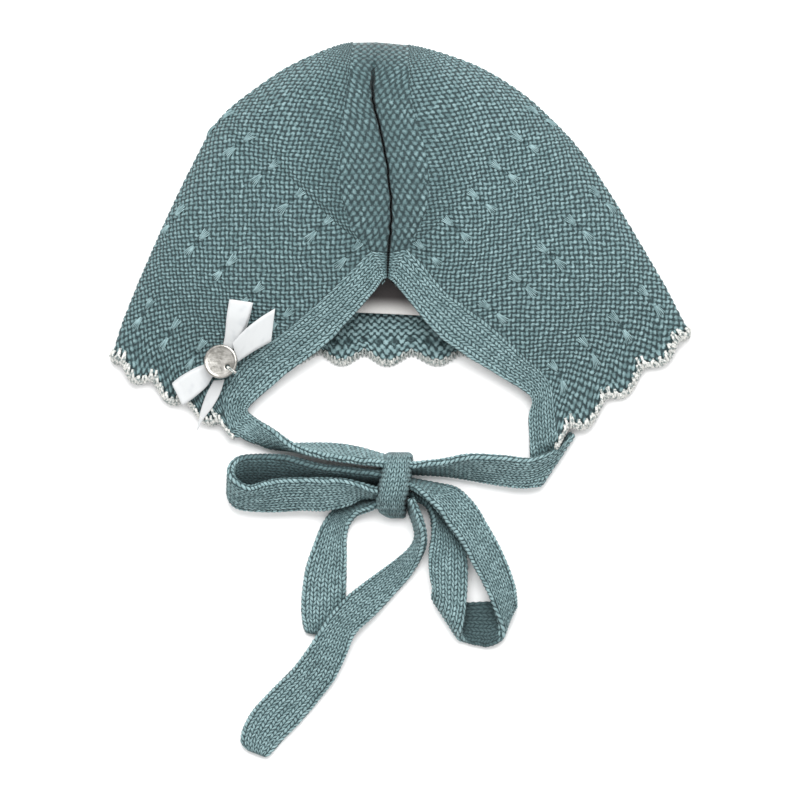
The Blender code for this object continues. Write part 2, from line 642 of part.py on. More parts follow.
def neck_band(look, neck_line):
    """The band round the opening: an inverted V, its point drawn into the crease."""
    count = len(NECK_RIDGES)
    inner = [opening_point(OPENING_RIGHT, ridge) for ridge in NECK_RIDGES[:-1]]
    crease = neck_line[count - 1 : len(neck_line) - count + 1]
    crease = [crease[i] for i in (0, 2, len(crease) // 2, -3, -1)]
    neck_line = neck_line[: count - 1] + crease + neck_line[1 - count :]
    right = opening_point(OPENING_RIGHT, NAPE - 1)
    left = opening_point(OPENING_LEFT, NAPE - 1)
    tip = (right + left) / 2 + np.array((0, OPENING_TIP_RISE, 0))
    middle = crease[len(crease) // 2][0]
    for i, (point, way) in enumerate(crease):
        end = right if i <= len(crease) // 2 else left
        share = np.linalg.norm((point - middle)[:2]) / np.linalg.norm((crease[0][0] - middle)[:2])
        place = tip + (end - tip) * min(share, 1.0)
        place[2] -= (crease[0][0][2] - point[2]) * OPENING_CREASE_SHARE
        inner.append(place)
    inner += [opening_point(OPENING_LEFT, ridge) for ridge in NECK_RIDGES[-2::-1]]
    lines = []
    for i, ((point, way), end) in enumerate(zip(neck_line, inner)):
        gap = 2 * GAP if count - 1 <= i < count - 1 + len(crease) else GAP
        first = point + (end - point) / np.linalg.norm(end - point) * gap
        lines.append([first + (end - first) * share for share in BAND_SHARES])
    for rows, opening, at in ((RIGHT_ROWS, OPENING_RIGHT, 0), (LEFT_ROWS, OPENING_LEFT, -1)):
        step = np.array([row_value(rows, name, 0.0) - row_value(rows, name, TRIM_RIDGES)
                         for name in ("start_x", "start_y", "start_z")])
        end = opening_point(opening, 0.0)
        first = lines[at][0] + step
        line = [first + (end - first) * share for share in BAND_SHARES]
        lines.insert(0 if at == 0 else len(lines), line)
    ways = [neck_line[0][1]] + [way for point, way in neck_line] + [neck_line[-1][1]]
    mesh = bmesh.new()
    add_grid(mesh, np.array(lines))
    bmesh.ops.recalc_face_normals(mesh, faces=mesh.faces)
    point_up_at(mesh, lines[3][2])
    mesh.verts.ensure_lookup_table()
    given = {mesh.verts[4 * i]: way for i, way in enumerate(ways)}
    for i in range(count, count + len(crease)):
        at_seam = i in (count, count + len(crease) - 1)
        for j in range(1 if at_seam else 0, 4):
            given[mesh.verts[4 * i + j]] = Vector((0, 0, 1))
    for j in range(4):
        given[mesh.verts[j]] = Vector((0, 0, 1))
        given[mesh.verts[-1 - j]] = Vector((0, 0, 1))
    solid_sheet(mesh, BAND_THICK, given)
    return finish_object("neck_band", mesh, look)


def close_tube(mesh, rings):
    """Joins rings of points into a closed tube with flat ends."""
    made = [[mesh.verts.new(point * MM) for point in ring] for ring in rings]
    for one, two in zip(made, made[1:]):
        for i in range(len(one)):
            j = (i + 1) % len(one)
            mesh.faces.new((one[i], one[j], two[j], two[i]))
    mesh.faces.new(made[0][::-1])
    mesh.faces.new(made[-1])


def directions(points):
    """Unit direction of a line at each of its points."""
    step = np.gradient(points, axis=0)
    return step / np.linalg.norm(step, axis=1)[:, None]


def tube(name, look, points, radius, sides):
    """A round cord along a line of points."""
    rings = []
    side = np.array((0.0, 0.0, 1.0))
    for point, forward in zip(points, directions(points)):
        side = side - forward * side.dot(forward)
        side = side / np.linalg.norm(side)
        over = np.cross(side, forward)
        turns = np.arange(sides) * 2 * np.pi / sides
        rings.append([point + radius * (math.cos(a) * side + math.sin(a) * over) for a in turns])
    mesh = bmesh.new()
    close_tube(mesh, rings)
    return finish_object(name, mesh, look)


def face_trim(look, face_line):
    """The pale edging that follows the scallops from one tie to the other."""
    edge = np.array([point for point, way in face_line])
    ways = np.array([way for point, way in face_line])
    outward = np.cross(directions(edge), ways)
    outward = outward / np.linalg.norm(outward, axis=1)[:, None]
    if outward[0][1] > 0:
        outward = -outward
    line = edge - ways * WALL / 2 + outward * (TRIM_RADIUS + GAP)
    kept = [line[0]]
    for point in line[1:]:
        if np.linalg.norm(point - kept[-1]) > TRIM_STEP:
            kept.append(point)
    return tube("face_trim", look, np.array(kept), TRIM_RADIUS, 6)


def strip_sections(table, names, per_row):
    """Edge points of a strip's sections, with sections added between the table's rows."""
    rows = np.arange(len(table))
    places = np.linspace(0, len(table) - 1, per_row * (len(table) - 1) + 1)
    values = [curve_through(places, rows, column(table, names, name)) for name in names]
    return np.stack(values, axis=1)


def strip(name, look, first, second, thickness):
    """A flat cord of cloth between two edges, with rounded sides."""
    across = second - first
    width = np.linalg.norm(across, axis=1)[:, None]
    across = across / width
    face = np.cross(directions((first + second) / 2), across)
    face = face / np.linalg.norm(face, axis=1)[:, None]
    half = thickness / 2
    shoulder = min(STRIP_SHOULDER, half)
    side = half * STRIP_EDGE_SHARE
    rings = []
    for a, b, u, n in zip(first, second, across, face):
        rings.append((
            a - n * side,
            a + u * shoulder - n * half,
            b - u * shoulder - n * half,
            b - n * side,
            b + n * side,
            b - u * shoulder + n * half,
            a + u * shoulder + n * half,
            a + n * side,
        ))
    mesh = bmesh.new()
    close_tube(mesh, rings)
    return finish_object(name, mesh, look)


def tie(name, look, table):
    values = strip_sections(table, STRIP_COLUMNS, 2)
    return strip(name, look, values[:, :3], values[:, 3:], TIE_THICK)


def bow_knot(look):
    """The knot: a short wrap of the tie, arched over the layers it holds."""
    values = strip_sections(KNOT, KNOT_COLUMNS, 2)
    rings = []
    turns = np.linspace(0, np.pi, KNOT_SIDES + 3)
    across, up = KNOT_SQUARENESS
    for y, x, half_width, height in values:
        ring = []
        for a in turns:
            side = half_width * math.copysign(abs(math.cos(a)) ** across, math.cos(a))
            ring.append(np.array((x + side, y, KNOT_FOOT + (height - KNOT_FOOT) * math.sin(a) ** up)))
        rings.append(ring)
    mesh = bmesh.new()
    close_tube(mesh, rings)
    return finish_object("bow_knot", mesh, look)


def surface_height(surface, x, y):
    """Height of the shell under a place, or of its nearest edge."""
    hit = surface.ray_cast(Vector((x * MM, y * MM, 0.1)), Vector((0, 0, -1)))[0]
    if hit is None:
        hit = surface.find_nearest(Vector((x * MM, y * MM, 0.005)))[0]
    return hit.z / MM


def ribbon(name, look, table, surface):
    """One loop or end of the satin bow, laid over the knitting."""
    values = strip_sections(table, RIBBON_COLUMNS, 2)
    edges = []
    for ax, ay, bx, by, lift in values:
        first = np.array((ax, ay, surface_height(surface, ax, ay) + lift))
        second = np.array((bx, by, surface_height(surface, bx, by) + lift))
        edges.append((first, second))
    edges = np.array(edges)
    return strip(name, look, edges[:, 0], edges[:, 1], RIBBON_THICK)


def button_frame(surface):
    """Middle of the button's face and the rotation that tilts it."""
    height = surface_height(surface, BUTTON_X, BUTTON_Y) + BUTTON_LIFT
    turn = Euler((BUTTON_TILT[0], BUTTON_TILT[1], 0)).to_matrix()
    return Vector((BUTTON_X, BUTTON_Y, height)), turn


def button(look, surface):
    """A round plate with a rounded rim and one sewing hole."""
    place, turn = button_frame(surface)
    half = BUTTON_THICK / 2
    profile = (
        (BUTTON_RADIUS - BUTTON_ROUNDING, half),
        (BUTTON_RADIUS, half - BUTTON_ROUNDING),
        (BUTTON_RADIUS, BUTTON_ROUNDING - half),
        (BUTTON_RADIUS - BUTTON_ROUNDING, -half),
    )
    rings = []
    for radius, height in profile:
        ring = []
        for i in range(BUTTON_SIDES):
            a = 2 * math.pi * i / BUTTON_SIDES
            ring.append(np.array(place + turn @ Vector((radius * math.cos(a), radius * math.sin(a), height))))
        rings.append(ring)
    mesh = bmesh.new()
    close_tube(mesh, rings)
    made = finish_object("button", mesh, look)
    centre = Vector((HOLE_OFFSET * math.cos(HOLE_ANGLE), HOLE_OFFSET * math.sin(HOLE_ANGLE), 0))
    bore = []
    for height in (-2 * BUTTON_THICK, 2 * BUTTON_THICK):
        ring = []
        for i in range(HOLE_SIDES):
            a = 2 * math.pi * i / HOLE_SIDES
            spot = centre + Vector((HOLE_RADIUS * math.cos(a), HOLE_RADIUS * math.sin(a), height))
            ring.append(np.array(place + turn @ spot))
        bore.append(ring)
    mesh = bmesh.new()
    close_tube(mesh, bore)
    drill = finish_object("button_hole", mesh, look)
    drill.hide_render = True
    drill.display_type = "WIRE"
    cut = made.modifiers.new("Hole", "BOOLEAN")
    cut.operation = "DIFFERENCE"
    cut.solver = "EXACT"
    cut.object = drill
    return made


def button_thread(look, surface):
    """The stitch that comes up through the hole and over the rim."""
    place, turn = button_frame(surface)
    half = BUTTON_THICK / 2
    over = half + THREAD_RADIUS + GAP
    out = BUTTON_RADIUS + THREAD_RADIUS + GAP
    path = ((HOLE_OFFSET, -half), (HOLE_OFFSET, 0), (HOLE_OFFSET, half), (HOLE_OFFSET + 0.4, over),
            (HOLE_OFFSET + 1.6, over + 0.15), (out - 0.5, over), (out + 0.1, half), (out + 0.1, 0),
            (out + 0.1, -half))
    points = []
    for away, height in path:
        spot = Vector((away * math.cos(HOLE_ANGLE), away * math.sin(HOLE_ANGLE), height))
        points.append(np.array(place + turn @ spot))
    return tube("button_thread", look, np.array(points), THREAD_RADIUS, 8)


def neck_label(look):
    values = strip_sections(LABEL, ("y", "z"), 2)
    half = LABEL_WIDTH / 2
    left = np.array([(LABEL_MIDDLE_X - half, y + LABEL_TILT / 2, z) for y, z in values])
    right = np.array([(LABEL_MIDDLE_X + half, y - LABEL_TILT / 2, z) for y, z in values])
    return strip("neck_label", look, left, right, LABEL_THICK)


def build():
    clear_scene()
    yarn = material("sage_yarn", YARN, 0.85)
    pale = material("pale_yarn", PALE_YARN, 0.8)
    satin = material("white_satin", SATIN, 0.35)
    metal = material("brushed_metal", METAL, 0.35, 1.0)
    cotton = material("label_cotton", LABEL_WHITE, 0.8)

    face_line, neck_line, surface = hat_body(yarn)
    face_trim(pale, face_line)
    neck_band(yarn, neck_line)
    tie("tie_right", yarn, TIE_RIGHT)
    tie("tie_left", yarn, TIE_LEFT)
    tie("bow_loop_left", yarn, LOOP_LEFT)
    tie("bow_loop_right", yarn, LOOP_RIGHT)
    tie("tie_end_short", yarn, END_SHORT)
    tie("tie_end_long", yarn, END_LONG)
    bow_knot(yarn)
    ribbon("ribbon_loop_upper", satin, RIBBON_LOOP_UPPER, surface)
    ribbon("ribbon_loop_lower", satin, RIBBON_LOOP_LOWER, surface)
    ribbon("ribbon_end_upper", satin, RIBBON_END_UPPER, surface)
    ribbon("ribbon_end_lower", satin, RIBBON_END_LOWER, surface)
    button(metal, surface)
    button_thread(pale, surface)
    neck_label(cotton)


build()
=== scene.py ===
"""The looks of a baby's knitted bonnet, laid down on its brow side with its ties in a bow.

X runs across the bonnet, Y from the ties up to the crown and Z up from the surface it lies on. Sizes are in
millimetres until a mesh is made. A row of knitting is counted in ridges from the face edge, and a place along
a row in stitches from the neck edge.
"""

import math

import bmesh
import bpy
import numpy as np
from mathutils import Euler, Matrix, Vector
from mathutils.bvhtree import BVHTree


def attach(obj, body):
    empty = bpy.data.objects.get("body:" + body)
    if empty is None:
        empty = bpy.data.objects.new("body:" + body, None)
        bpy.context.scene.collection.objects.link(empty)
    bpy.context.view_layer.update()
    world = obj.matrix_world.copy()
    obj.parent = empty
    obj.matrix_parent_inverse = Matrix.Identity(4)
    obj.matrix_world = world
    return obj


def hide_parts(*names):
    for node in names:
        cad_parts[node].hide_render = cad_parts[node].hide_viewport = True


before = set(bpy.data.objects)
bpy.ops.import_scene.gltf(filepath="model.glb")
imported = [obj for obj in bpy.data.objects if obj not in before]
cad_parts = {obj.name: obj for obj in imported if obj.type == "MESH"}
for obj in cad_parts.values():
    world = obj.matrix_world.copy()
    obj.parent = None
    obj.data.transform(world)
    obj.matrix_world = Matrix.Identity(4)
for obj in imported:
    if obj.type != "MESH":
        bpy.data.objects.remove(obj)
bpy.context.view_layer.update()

MM = 0.001
SEED = 11

# Cloth
WALL = 2.4
BAND_THICK = 2.8
TIE_THICK = 2.9
TRIM_RADIUS = 1.15
RIBBON_THICK = 0.5
LABEL_THICK = 0.6
UNEVEN = 0.13
STRAP_UNEVEN = 0.6 * UNEVEN

# Relief of the knitting: garter ridges, and the legs of smooth knitting
GARTER_STITCH = 2.5
GARTER_RIDGE = 2.8
BUMP_SIZE = (0.56, 0.34)
BUMP_BEND = 1.5
HEAD_SIZE = (0.41, 0.36)
HEAD_BEND = 0.9
HEAD_SLANT = -0.4
HEAD_SHARE = 0.72
SLANT_RIGHT = -0.34
SLANT_LEFT = 0.3
PANEL_BUMP_SIZE = (0.56, 0.38)
PANEL_VALLEY = 2.2
BUMP_RISE = 0.24
RIDGE_RISE = 0.16
RELIEF_TOP = 0.4
LEG_SLANT = 0.9
LEG_RISE = 0.75
LEG_SINK = 0.45
CHAIN_RISE = 0.18
REST_SINK = 0.02
FLOOR_GAP = 0.02
EYELET_RIDGE = 2.9
EYELET_RADIUS = 1.05
EYELET_REACH = 1.4
EYELET_FADE = 3.0
FLAP_EYELET = 0.35
EYELET_DEPTH = 1.1
FLOAT_HOLE_RADIUS = 0.85
BROW_LIGHT = 1.15
INNER_SINK = 0.2

# Rows, columns and samples of the smooth knitting
STRAP_COLUMNS = 5
STRAP_SAMPLES = 4
EDGE_SAMPLES = 8
EDGE_END = 0.995
STRAP_ROW = 1.87
STRAP_ROW_SAMPLES = 4
STRAP_SECTIONS = 24
STRAP_END_ROUNDING = 1.6
STRAP_END_HALF_WIDTH = 0.4
STRAP_END_HALF_HEIGHT = 0.35
FRONT_LIGHT = 0.9
LOOP_SHADE_FADE = 0.8
BAND_COLUMNS = 5
BAND_SAMPLES = 6
BAND_ROWS = 192
BAND_TIP_COLUMNS = 48
BAND_STEP = 2
BAND_LIGHT = 0.88
CHAIN_START = 1.15
CHAIN_FADE = 0.3
STEEP_RELIEF = 0.3
KNOT_COLUMNS_ROUND = 20
KNOT_ROUNDING = 2.4
KNOT_TURNS = 400
KNOT_SQUARENESS = (0.45, 0.6)
KNOT_FOOT = 0.2
KNOT_END = (0.72, 0.45)

# The pale edging: two twisted plies, and stitches over the knitted edge
TRIM_TWIST = 3.1
TRIM_PLY = 0.8
TRIM_STRAND = 0.6
TRIM_REACH = 1.25
TRIM_NOTCH_REACH = 2.4
TRIM_LEAN = 0.75
TRIM_STEP = 0.5
TRIM_PITCH = 0.5
TRIM_NOTCH = 2.2
TRIM_SPREAD = 0.6
TRIM_INSIDE = 1.5
FACE_POINTS = 1200
BROW_FADE = 6.0

FIBRE = 1.25
# The yarn's colour, with painted shade for the gaps between its loops and a painted highlight for their tops
YARN_HIGHLIGHT = (0.232, 0.345, 0.359)
YARN_COLOUR = (0.077, 0.139, 0.147)
YARN_SHADE = (0.007, 0.024, 0.0275)

# Rows and stitches of the shell
NAPE = 40.0
CROWN = 66.0
CROWN_RIDGES = 22.0
TRIM_RIDGES = 1.1
EDGE_STITCH = 21.5
MIDDLE_STITCH = 59.0
SCALLOP_START = 2.0
SCALLOP_STITCHES = 6.0
SCALLOP_DEPTH = 2.8
SCALLOP_FADE = 5.0
SCALLOP_CALM = 3.0
SCALLOP_ROUNDING = 0.75
PANEL_STITCH = 2.95
CROWN_STITCH = 2.45
SEAM_RIDGES = 4.0

# Where the pieces of the shell meet, and samples in each stitch and ridge
SPLIT_STITCH = 38.0
BROW_RIDGES = 12.0
BROW_SAMPLES = 7
BROW_STEPS = 84
SHELL_STEP = 4
SIDE_SAMPLES = 6
PANEL_SAMPLES = 8
PANEL_COLUMNS = 60
PANEL_SLOPE = 1.6
PANEL_RELIEF = 0.9
PANEL_SEAM_LIGHT = 0.62
PANEL_SEAM_SPREAD = 1.7
SEAM_SHADE = 0.2
SEAM_SHADE_STITCHES = 13.0
SEAM_SHADE_RIDGES = (33.0, 41.0)
UNDER_SAMPLES = 3
LEVEL_START = -2.0
LEVEL_STEP = 0.5
ROW_SHARES = 181
ROW_SAMPLES = 241
ROW_CROWDING = 1.6
OUTLINE_POINTS = 160
EDGE_STEP = 0.5
UNDER_STRAIGHT_RIDGE = 52.0

# The fold where the upper layer turns under
FOLD_RADIUS = 4.2
FOLD_RADIUS_GAIN = 0.8
SHOULDER = 11.0
CROWN_HEART = (-8.5, 126.0, 9.0)
CROWN_GATHER = 0.9
CROWN_START = 122.0
CROWN_END = 136.0
BROW_MIDDLE_X = -5.6
CROWN_MIDDLE_X = -10.0

# The crease down the back panel
CREASE_HALF_GAP = 0.28
CREASE_WANDER = 0.35
CREASE_WANDER_RIDGES = 0.6
CREASE_DEEPEST = 12.0
CREASE_SPREAD = 1.5
PANEL_CAMBER = 1.5
CAMBER_RIDGES = 10.0
CREASE_REACH = 0.7
CREASE_SAMPLES = 240
CREASE_CROWDING = 1.8

ROW_COLUMNS = "ridge start_x start_y start_z bulge edge_x edge_y edge_z mid_y leave arrive"
RIGHT_ROWS = (
    (0.0, 62.4, -16.4, 9.0, -4.5, 115.0, 27.6, 8.2, 17.4, 38, 42),
    (4.0, 61.4, -3.2, 9.5, -2.5, 110.4, 36.4, 8.4, 27.0, 38, 43),
    (8.0, 59.0, 7.6, 10.5, 0.5, 105.2, 46.4, 8.8, 37.0, 39, 45),
    (11.0, 54.4, 12.8, 11.5, 2.5, 101.0, 53.6, 9.2, 43.0, 40, 46),
    (15.0, 48.0, 18.4, 13.0, 4.5, 95.6, 62.8, 9.6, 51.0, 42, 48),
    (23.0, 33.2, 32.0, 16.0, 6.0, 83.2, 83.2, 10.0, 66.0, 43, 52),
    (30.0, 19.6, 41.8, 19.0, 6.0, 71.6, 100.0, 11.0, 79.0, 38, 54),
    (38.0, 6.6, 56.2, 23.0, 6.0, 57.6, 114.8, 12.0, 93.4, 32, 56),
    (40.0, 2.4, 60.2, 24.0, 6.0, 53.8, 118.4, 12.0, 97.0, 32, 57),
    (42.0, 6.8, 67.6, 26.0, 5.0, 49.6, 121.8, 12.5, 100.6, 36, 59),
    (44.0, 9.6, 74.8, 27.0, 4.0, 45.2, 125.0, 13.0, 104.2, 42, 60),
    (50.0, 10.4, 96.8, 28.0, 3.0, 30.4, 133.6, 14.0, 115.0, 50, 68),
    (55.0, 5.2, 115.2, 27.0, 1.5, 17.6, 138.4, 15.0, 124.0, 65, 80),
    (60.0, 2.8, 131.6, 25.0, 0.5, 9.0, 140.9, 16.0, 133.0, 80, 88),
    (66.0, 3.2, 142.0, 20.0, 0.0, 3.2, 142.0, 16.0, 143.2, 90, 90),
)
LEFT_ROWS = (
    (0.0, -68.0, -13.2, 6.0, -2.5, -115.4, 17.6, 8.2, 17.4, 36, 38),
    (4.0, -71.4, -1.6, 7.5, -1.0, -112.0, 29.2, 8.4, 27.0, 37, 38),
    (8.0, -67.6, 8.8, 9.0, 1.0, -108.0, 39.6, 8.8, 37.0, 38, 38),
    (11.0, -63.6, 14.4, 10.5, 3.0, -105.0, 47.0, 9.2, 43.0, 38, 38),
    (15.0, -57.6, 19.2, 12.5, 5.0, -101.2, 55.8, 9.6, 51.0, 38, 39),
    (23.0, -44.8, 28.8, 16.0, 6.0, -93.4, 73.4, 10.0, 66.0, 38, 39),
    (30.0, -31.6, 40.4, 19.0, 6.0, -84.8, 91.2, 11.0, 79.0, 38, 41),
    (38.0, -16.6, 55.2, 23.0, 6.0, -73.4, 111.4, 12.0, 93.4, 36, 44),
    (40.0, -12.4, 59.6, 24.0, 6.0, -70.0, 115.2, 12.0, 97.0, 36, 46),
    (42.0, -18.8, 67.2, 26.0, 5.0, -66.2, 118.6, 12.5, 100.6, 40, 49),
    (44.0, -22.0, 74.8, 27.0, 4.0, -62.0, 121.8, 13.0, 104.2, 44, 52),
    (50.0, -24.4, 96.8, 28.0, 3.0, -46.0, 132.8, 14.0, 115.0, 55, 64),
    (55.0, -22.8, 115.2, 27.0, 1.5, -33.4, 138.8, 15.0, 124.0, 70, 78),
    (60.0, -20.4, 131.8, 25.0, 0.5, -24.8, 142.0, 16.0, 133.0, 80, 86),
    (66.0, -19.6, 143.0, 20.0, 0.0, -19.6, 143.0, 16.0, 143.2, 90, 90),
)
# Stitches between the neck edge and the outline, by ridge
OUTLINE_RIGHT = (
    (0.0, 21.5), (7.6, 23.8), (23.0, 28.6), (38.0, 34.2), (44.0, 35.6), (50.0, 36.7), (66.0, 37.5),
)
OUTLINE_LEFT = (
    (0.0, 21.5), (7.6, 24.0), (23.0, 28.0), (38.0, 33.0), (44.0, 35.0), (50.0, 36.0), (66.0, 37.0),
)
CREASE_COLUMNS = "ridge x y depth"
CREASE = (
    (40.0, -5.0, 58.8, 8.0),
    (44.0, -4.0, 74.8, 11.0),
    (50.0, -6.0, 96.8, 12.0),
    (54.0, -9.2, 111.6, 11.0),
    (57.0, -11.4, 121.8, 8.0),
    (61.0, -10.8, 134.0, 1.5),
    (66.0, -10.0, 143.2, 0.0),
)
# Distance from the crease, and drop as a share of the crease's depth
CREASE_PROFILE = ((2.6, 0.0), (1.0, 0.02), (0.6, 0.06), (0.42, 0.18), (CREASE_HALF_GAP, 0.5), (0.0, 1.0))

# The inner edge of the band round the opening: x, y, z of its middle surface, by ridge of the outer edge
OPENING_COLUMNS = "ridge x y z"
OPENING_RIGHT = (
    (0.0, 51.4, -18.4, 2.6),
    (4.0, 51.0, -6.4, 4.5),
    (7.0, 52.4, -0.6, 6.0),
    (10.0, 50.4, 2.6, 6.8),
    (14.0, 39.2, 9.6, 7.8),
    (18.0, 28.0, 16.4, 9.2),
    (24.0, 15.0, 25.6, 12.2),
    (31.0, 2.8, 40.0, 17.0),
    (39.0, -3.6, 47.6, 20.8),
)
OPENING_LEFT = (
    (0.0, -60.8, -5.0, 3.4),
    (4.0, -61.2, -3.4, 4.0),
    (7.0, -58.8, -0.8, 4.8),
    (10.0, -52.6, 4.6, 6.0),
    (14.0, -43.6, 12.2, 7.6),
    (18.0, -32.0, 20.4, 9.6),
    (24.0, -20.6, 32.0, 13.6),
    (31.0, -11.4, 42.4, 18.0),
    (39.0, -7.2, 48.2, 20.8),
)

# The band's two edges, carried on past its corners over the starts of the ties
BAND_END_RIGHT = (
    ((64.0, -19.0, 5.2), (64.6, -22.6, 4.4)),
    ((51.5, -21.4, 5.4), (51.8, -24.6, 5.6)),
)
BAND_END_LEFT = (
    ((-65.3, -13.9, 5.4), (-62.8, -15.9, 5.4), (-58.6, -17.8, 4.0)),
    ((-58.8, -6.6, 5.9), (-55.8, -8.8, 6.7), (-51.2, -12.2, 7.2)),
)
BAND_END_ROWS = 18
OPENING_TIP_RISE = 0.9
OPENING_CREASE_SHARE = 0.6

# Ties: each row is one section, with x, y and z of the middle of the cloth at its two edges
TIE_RIGHT = (
    (53.0, -19.6, 2.5, 62.4, -17.9, 3.1),
    (52.7, -25.0, 1.6, 65.0, -17.0, 1.8),
    (53.2, -30.0, 1.5, 67.0, -16.2, 1.5),
    (55.2, -33.2, 2.2, 68.6, -13.8, 2.6),
    (54.4, -34.4, 4.2, 67.8, -13.8, 4.6),
    (51.0, -35.0, 5.0, 62.4, -19.2, 6.0),
    (45.0, -34.8, 4.6, 52.4, -23.4, 9.6),
    (35.6, -33.2, 3.6, 41.0, -22.6, 12.6),
    (26.0, -31.2, 2.8, 27.0, -22.2, 14.2),
    (16.4, -29.6, 2.4, 16.4, -24.4, 14.4),
    (4.9, -28.8, 2.4, 4.9, -25.8, 14.0),
)
TIE_LEFT = (
    (-66.1, -14.9, 4.1, -59.0, -6.7, 3.8),
    (-63.4, -15.0, 4.0, -56.4, -8.4, 5.2),
    (-58.6, -17.0, 3.0, -50.4, -12.2, 7.4),
    (-52.8, -18.6, 2.2, -44.4, -17.2, 11.0),
    (-46.0, -18.6, 1.6, -38.8, -20.2, 13.8),
    (-37.2, -18.2, 1.5, -31.4, -22.4, 14.8),
    (-28.0, -18.2, 1.5, -23.8, -23.8, 15.0),
    (-18.4, -19.4, 1.6, -16.2, -24.8, 14.8),
    (-7.9, -22.4, 1.8, -7.2, -25.8, 14.4),
)
LOOP_LEFT = (
    (-9.4, -29.0, 12.6, -9.8, -34.0, 2.0),
    (-21.6, -27.4, 12.6, -21.6, -36.2, 1.6),
    (-31.2, -26.2, 12.4, -31.2, -36.8, 1.5),
    (-39.2, -24.2, 12.0, -39.2, -36.6, 1.5),
    (-46.6, -22.4, 11.4, -46.4, -36.0, 1.5),
    (-56.8, -22.0, 10.6, -56.8, -35.2, 1.5),
    (-64.4, -22.8, 10.2, -64.4, -34.8, 1.6),
    (-67.6, -25.6, 10.2, -67.8, -36.2, 2.0),
    (-67.8, -29.2, 10.8, -68.2, -39.8, 3.0),
    (-65.4, -32.6, 12.0, -66.0, -42.6, 3.8),
    (-60.4, -34.6, 12.8, -62.0, -43.8, 4.4),
    (-54.4, -32.8, 13.2, -51.2, -44.4, 4.8),
    (-46.4, -31.6, 13.4, -40.0, -43.8, 5.2),
    (-33.2, -31.4, 13.6, -30.4, -44.0, 6.2),
    (-22.8, -31.8, 13.8, -20.6, -41.8, 7.4),
    (-15.8, -33.6, 13.8, -15.8, -39.0, 7.6),
    (-10.6, -35.4, 13.6, -11.2, -38.8, 7.0),
)
LOOP_RIGHT = (
    (4.7, -32.2, 6.4, 4.4, -34.8, 13.6),
    (14.0, -33.6, 7.0, 9.4, -38.8, 13.6),
    (21.6, -35.0, 7.4, 14.6, -44.0, 13.2),
    (28.0, -40.0, 7.4, 19.4, -50.8, 12.0),
    (34.0, -49.0, 7.4, 24.8, -58.0, 11.0),
    (38.8, -57.6, 7.4, 28.4, -65.2, 10.0),
    (43.2, -67.4, 7.4, 32.2, -72.0, 9.2),
    (45.8, -75.4, 7.2, 35.4, -78.8, 8.4),
    (46.2, -79.8, 6.0, 37.8, -85.2, 7.4),
    (45.6, -82.0, 3.8, 39.8, -91.6, 6.0),
    (42.6, -81.4, 2.0, 39.6, -96.4, 3.6),
    (36.8, -80.8, 1.5, 35.0, -98.6, 1.8),
    (27.6, -81.0, 1.5, 31.4, -98.2, 1.5),
    (20.2, -81.0, 1.5, 28.0, -97.6, 1.6),
    (15.4, -80.0, 2.2, 25.4, -96.6, 2.4),
    (13.0, -78.4, 4.2, 23.6, -94.8, 4.6),
    (12.6, -75.4, 6.3, 24.4, -91.8, 6.8),
    (11.4, -70.0, 6.8, 25.8, -83.5, 6.6),
    (11.2, -61.2, 6.6, 26.6, -68.0, 5.8),
    (12.2, -54.0, 6.8, 25.0, -56.6, 4.4),
    (12.0, -47.0, 7.4, 20.4, -47.4, 3.2),
    (9.8, -41.8, 7.8, 14.4, -41.2, 2.4),
    (4.4, -38.4, 8.0, 5.6, -37.0, 2.0),
)
END_SHORT = (
    (-11.0, -39.8, 2.0, -10.0, -42.4, 8.6),
    (-16.8, -40.6, 1.8, -14.0, -44.4, 7.4),
    (-22.6, -42.0, 1.6, -18.0, -46.4, 5.2),
    (-28.0, -44.8, 1.5, -20.8, -50.4, 3.2),
    (-31.6, -50.0, 1.5, -21.8, -55.6, 1.9),
    (-35.2, -58.6, 1.5, -21.8, -62.0, 1.5),
    (-38.2, -68.0, 1.5, -22.0, -70.4, 1.5),
    (-39.6, -78.8, 1.5, -22.4, -80.0, 1.5),
    (-39.6, -86.0, 1.5, -23.6, -87.6, 1.5),
    (-38.4, -93.2, 1.5, -25.8, -95.2, 1.5),
)
END_LONG = (
    (3.4, -43.0, 1.6, 4.6, -40.6, 13.4),
    (4.6, -46.4, 1.5, 6.6, -44.6, 13.2),
    (5.8, -50.0, 1.5, 8.0, -48.4, 12.2),
    (6.4, -54.6, 1.5, 9.2, -53.4, 10.4),
    (4.0, -59.0, 1.5, 9.4, -58.4, 7.6),
    (-2.0, -63.8, 1.5, 7.8, -63.6, 4.8),
    (-9.0, -68.8, 2.2, 3.6, -70.6, 2.6),
    (-16.0, -74.0, 3.8, -3.0, -78.0, 2.4),
    (-22.6, -79.6, 4.9, -10.0, -85.6, 3.6),
    (-30.4, -88.8, 5.0, -18.0, -93.2, 4.7),
    (-36.8, -98.8, 4.6, -21.8, -101.6, 4.4),
    (-43.2, -107.4, 3.0, -26.2, -110.8, 2.8),
    (-51.2, -115.4, 1.6, -32.6, -119.6, 1.6),
    (-59.0, -123.8, 1.5, -39.8, -128.2, 1.5),
    (-63.0, -131.0, 1.5, -47.2, -135.8, 1.5),
    (-64.0, -136.4, 1.5, -51.0, -140.2, 1.5),
    (-62.0, -140.0, 1.5, -53.6, -143.2, 1.5),
)

# The knot: y, x of the middle, half width and height of each section from its top end to its foot
KNOT = (
    (-20.8, -0.8, 5.4, 6.0),
    (-23.0, -1.2, 5.8, 12.6),
    (-26.4, -1.6, 6.2, 16.4),
    (-31.0, -2.2, 6.4, 17.6),
    (-36.0, -3.0, 6.6, 17.0),
    (-40.6, -4.0, 6.2, 14.8),
    (-44.4, -3.4, 5.4, 11.0),
    (-47.4, -1.6, 3.6, 5.6),
)

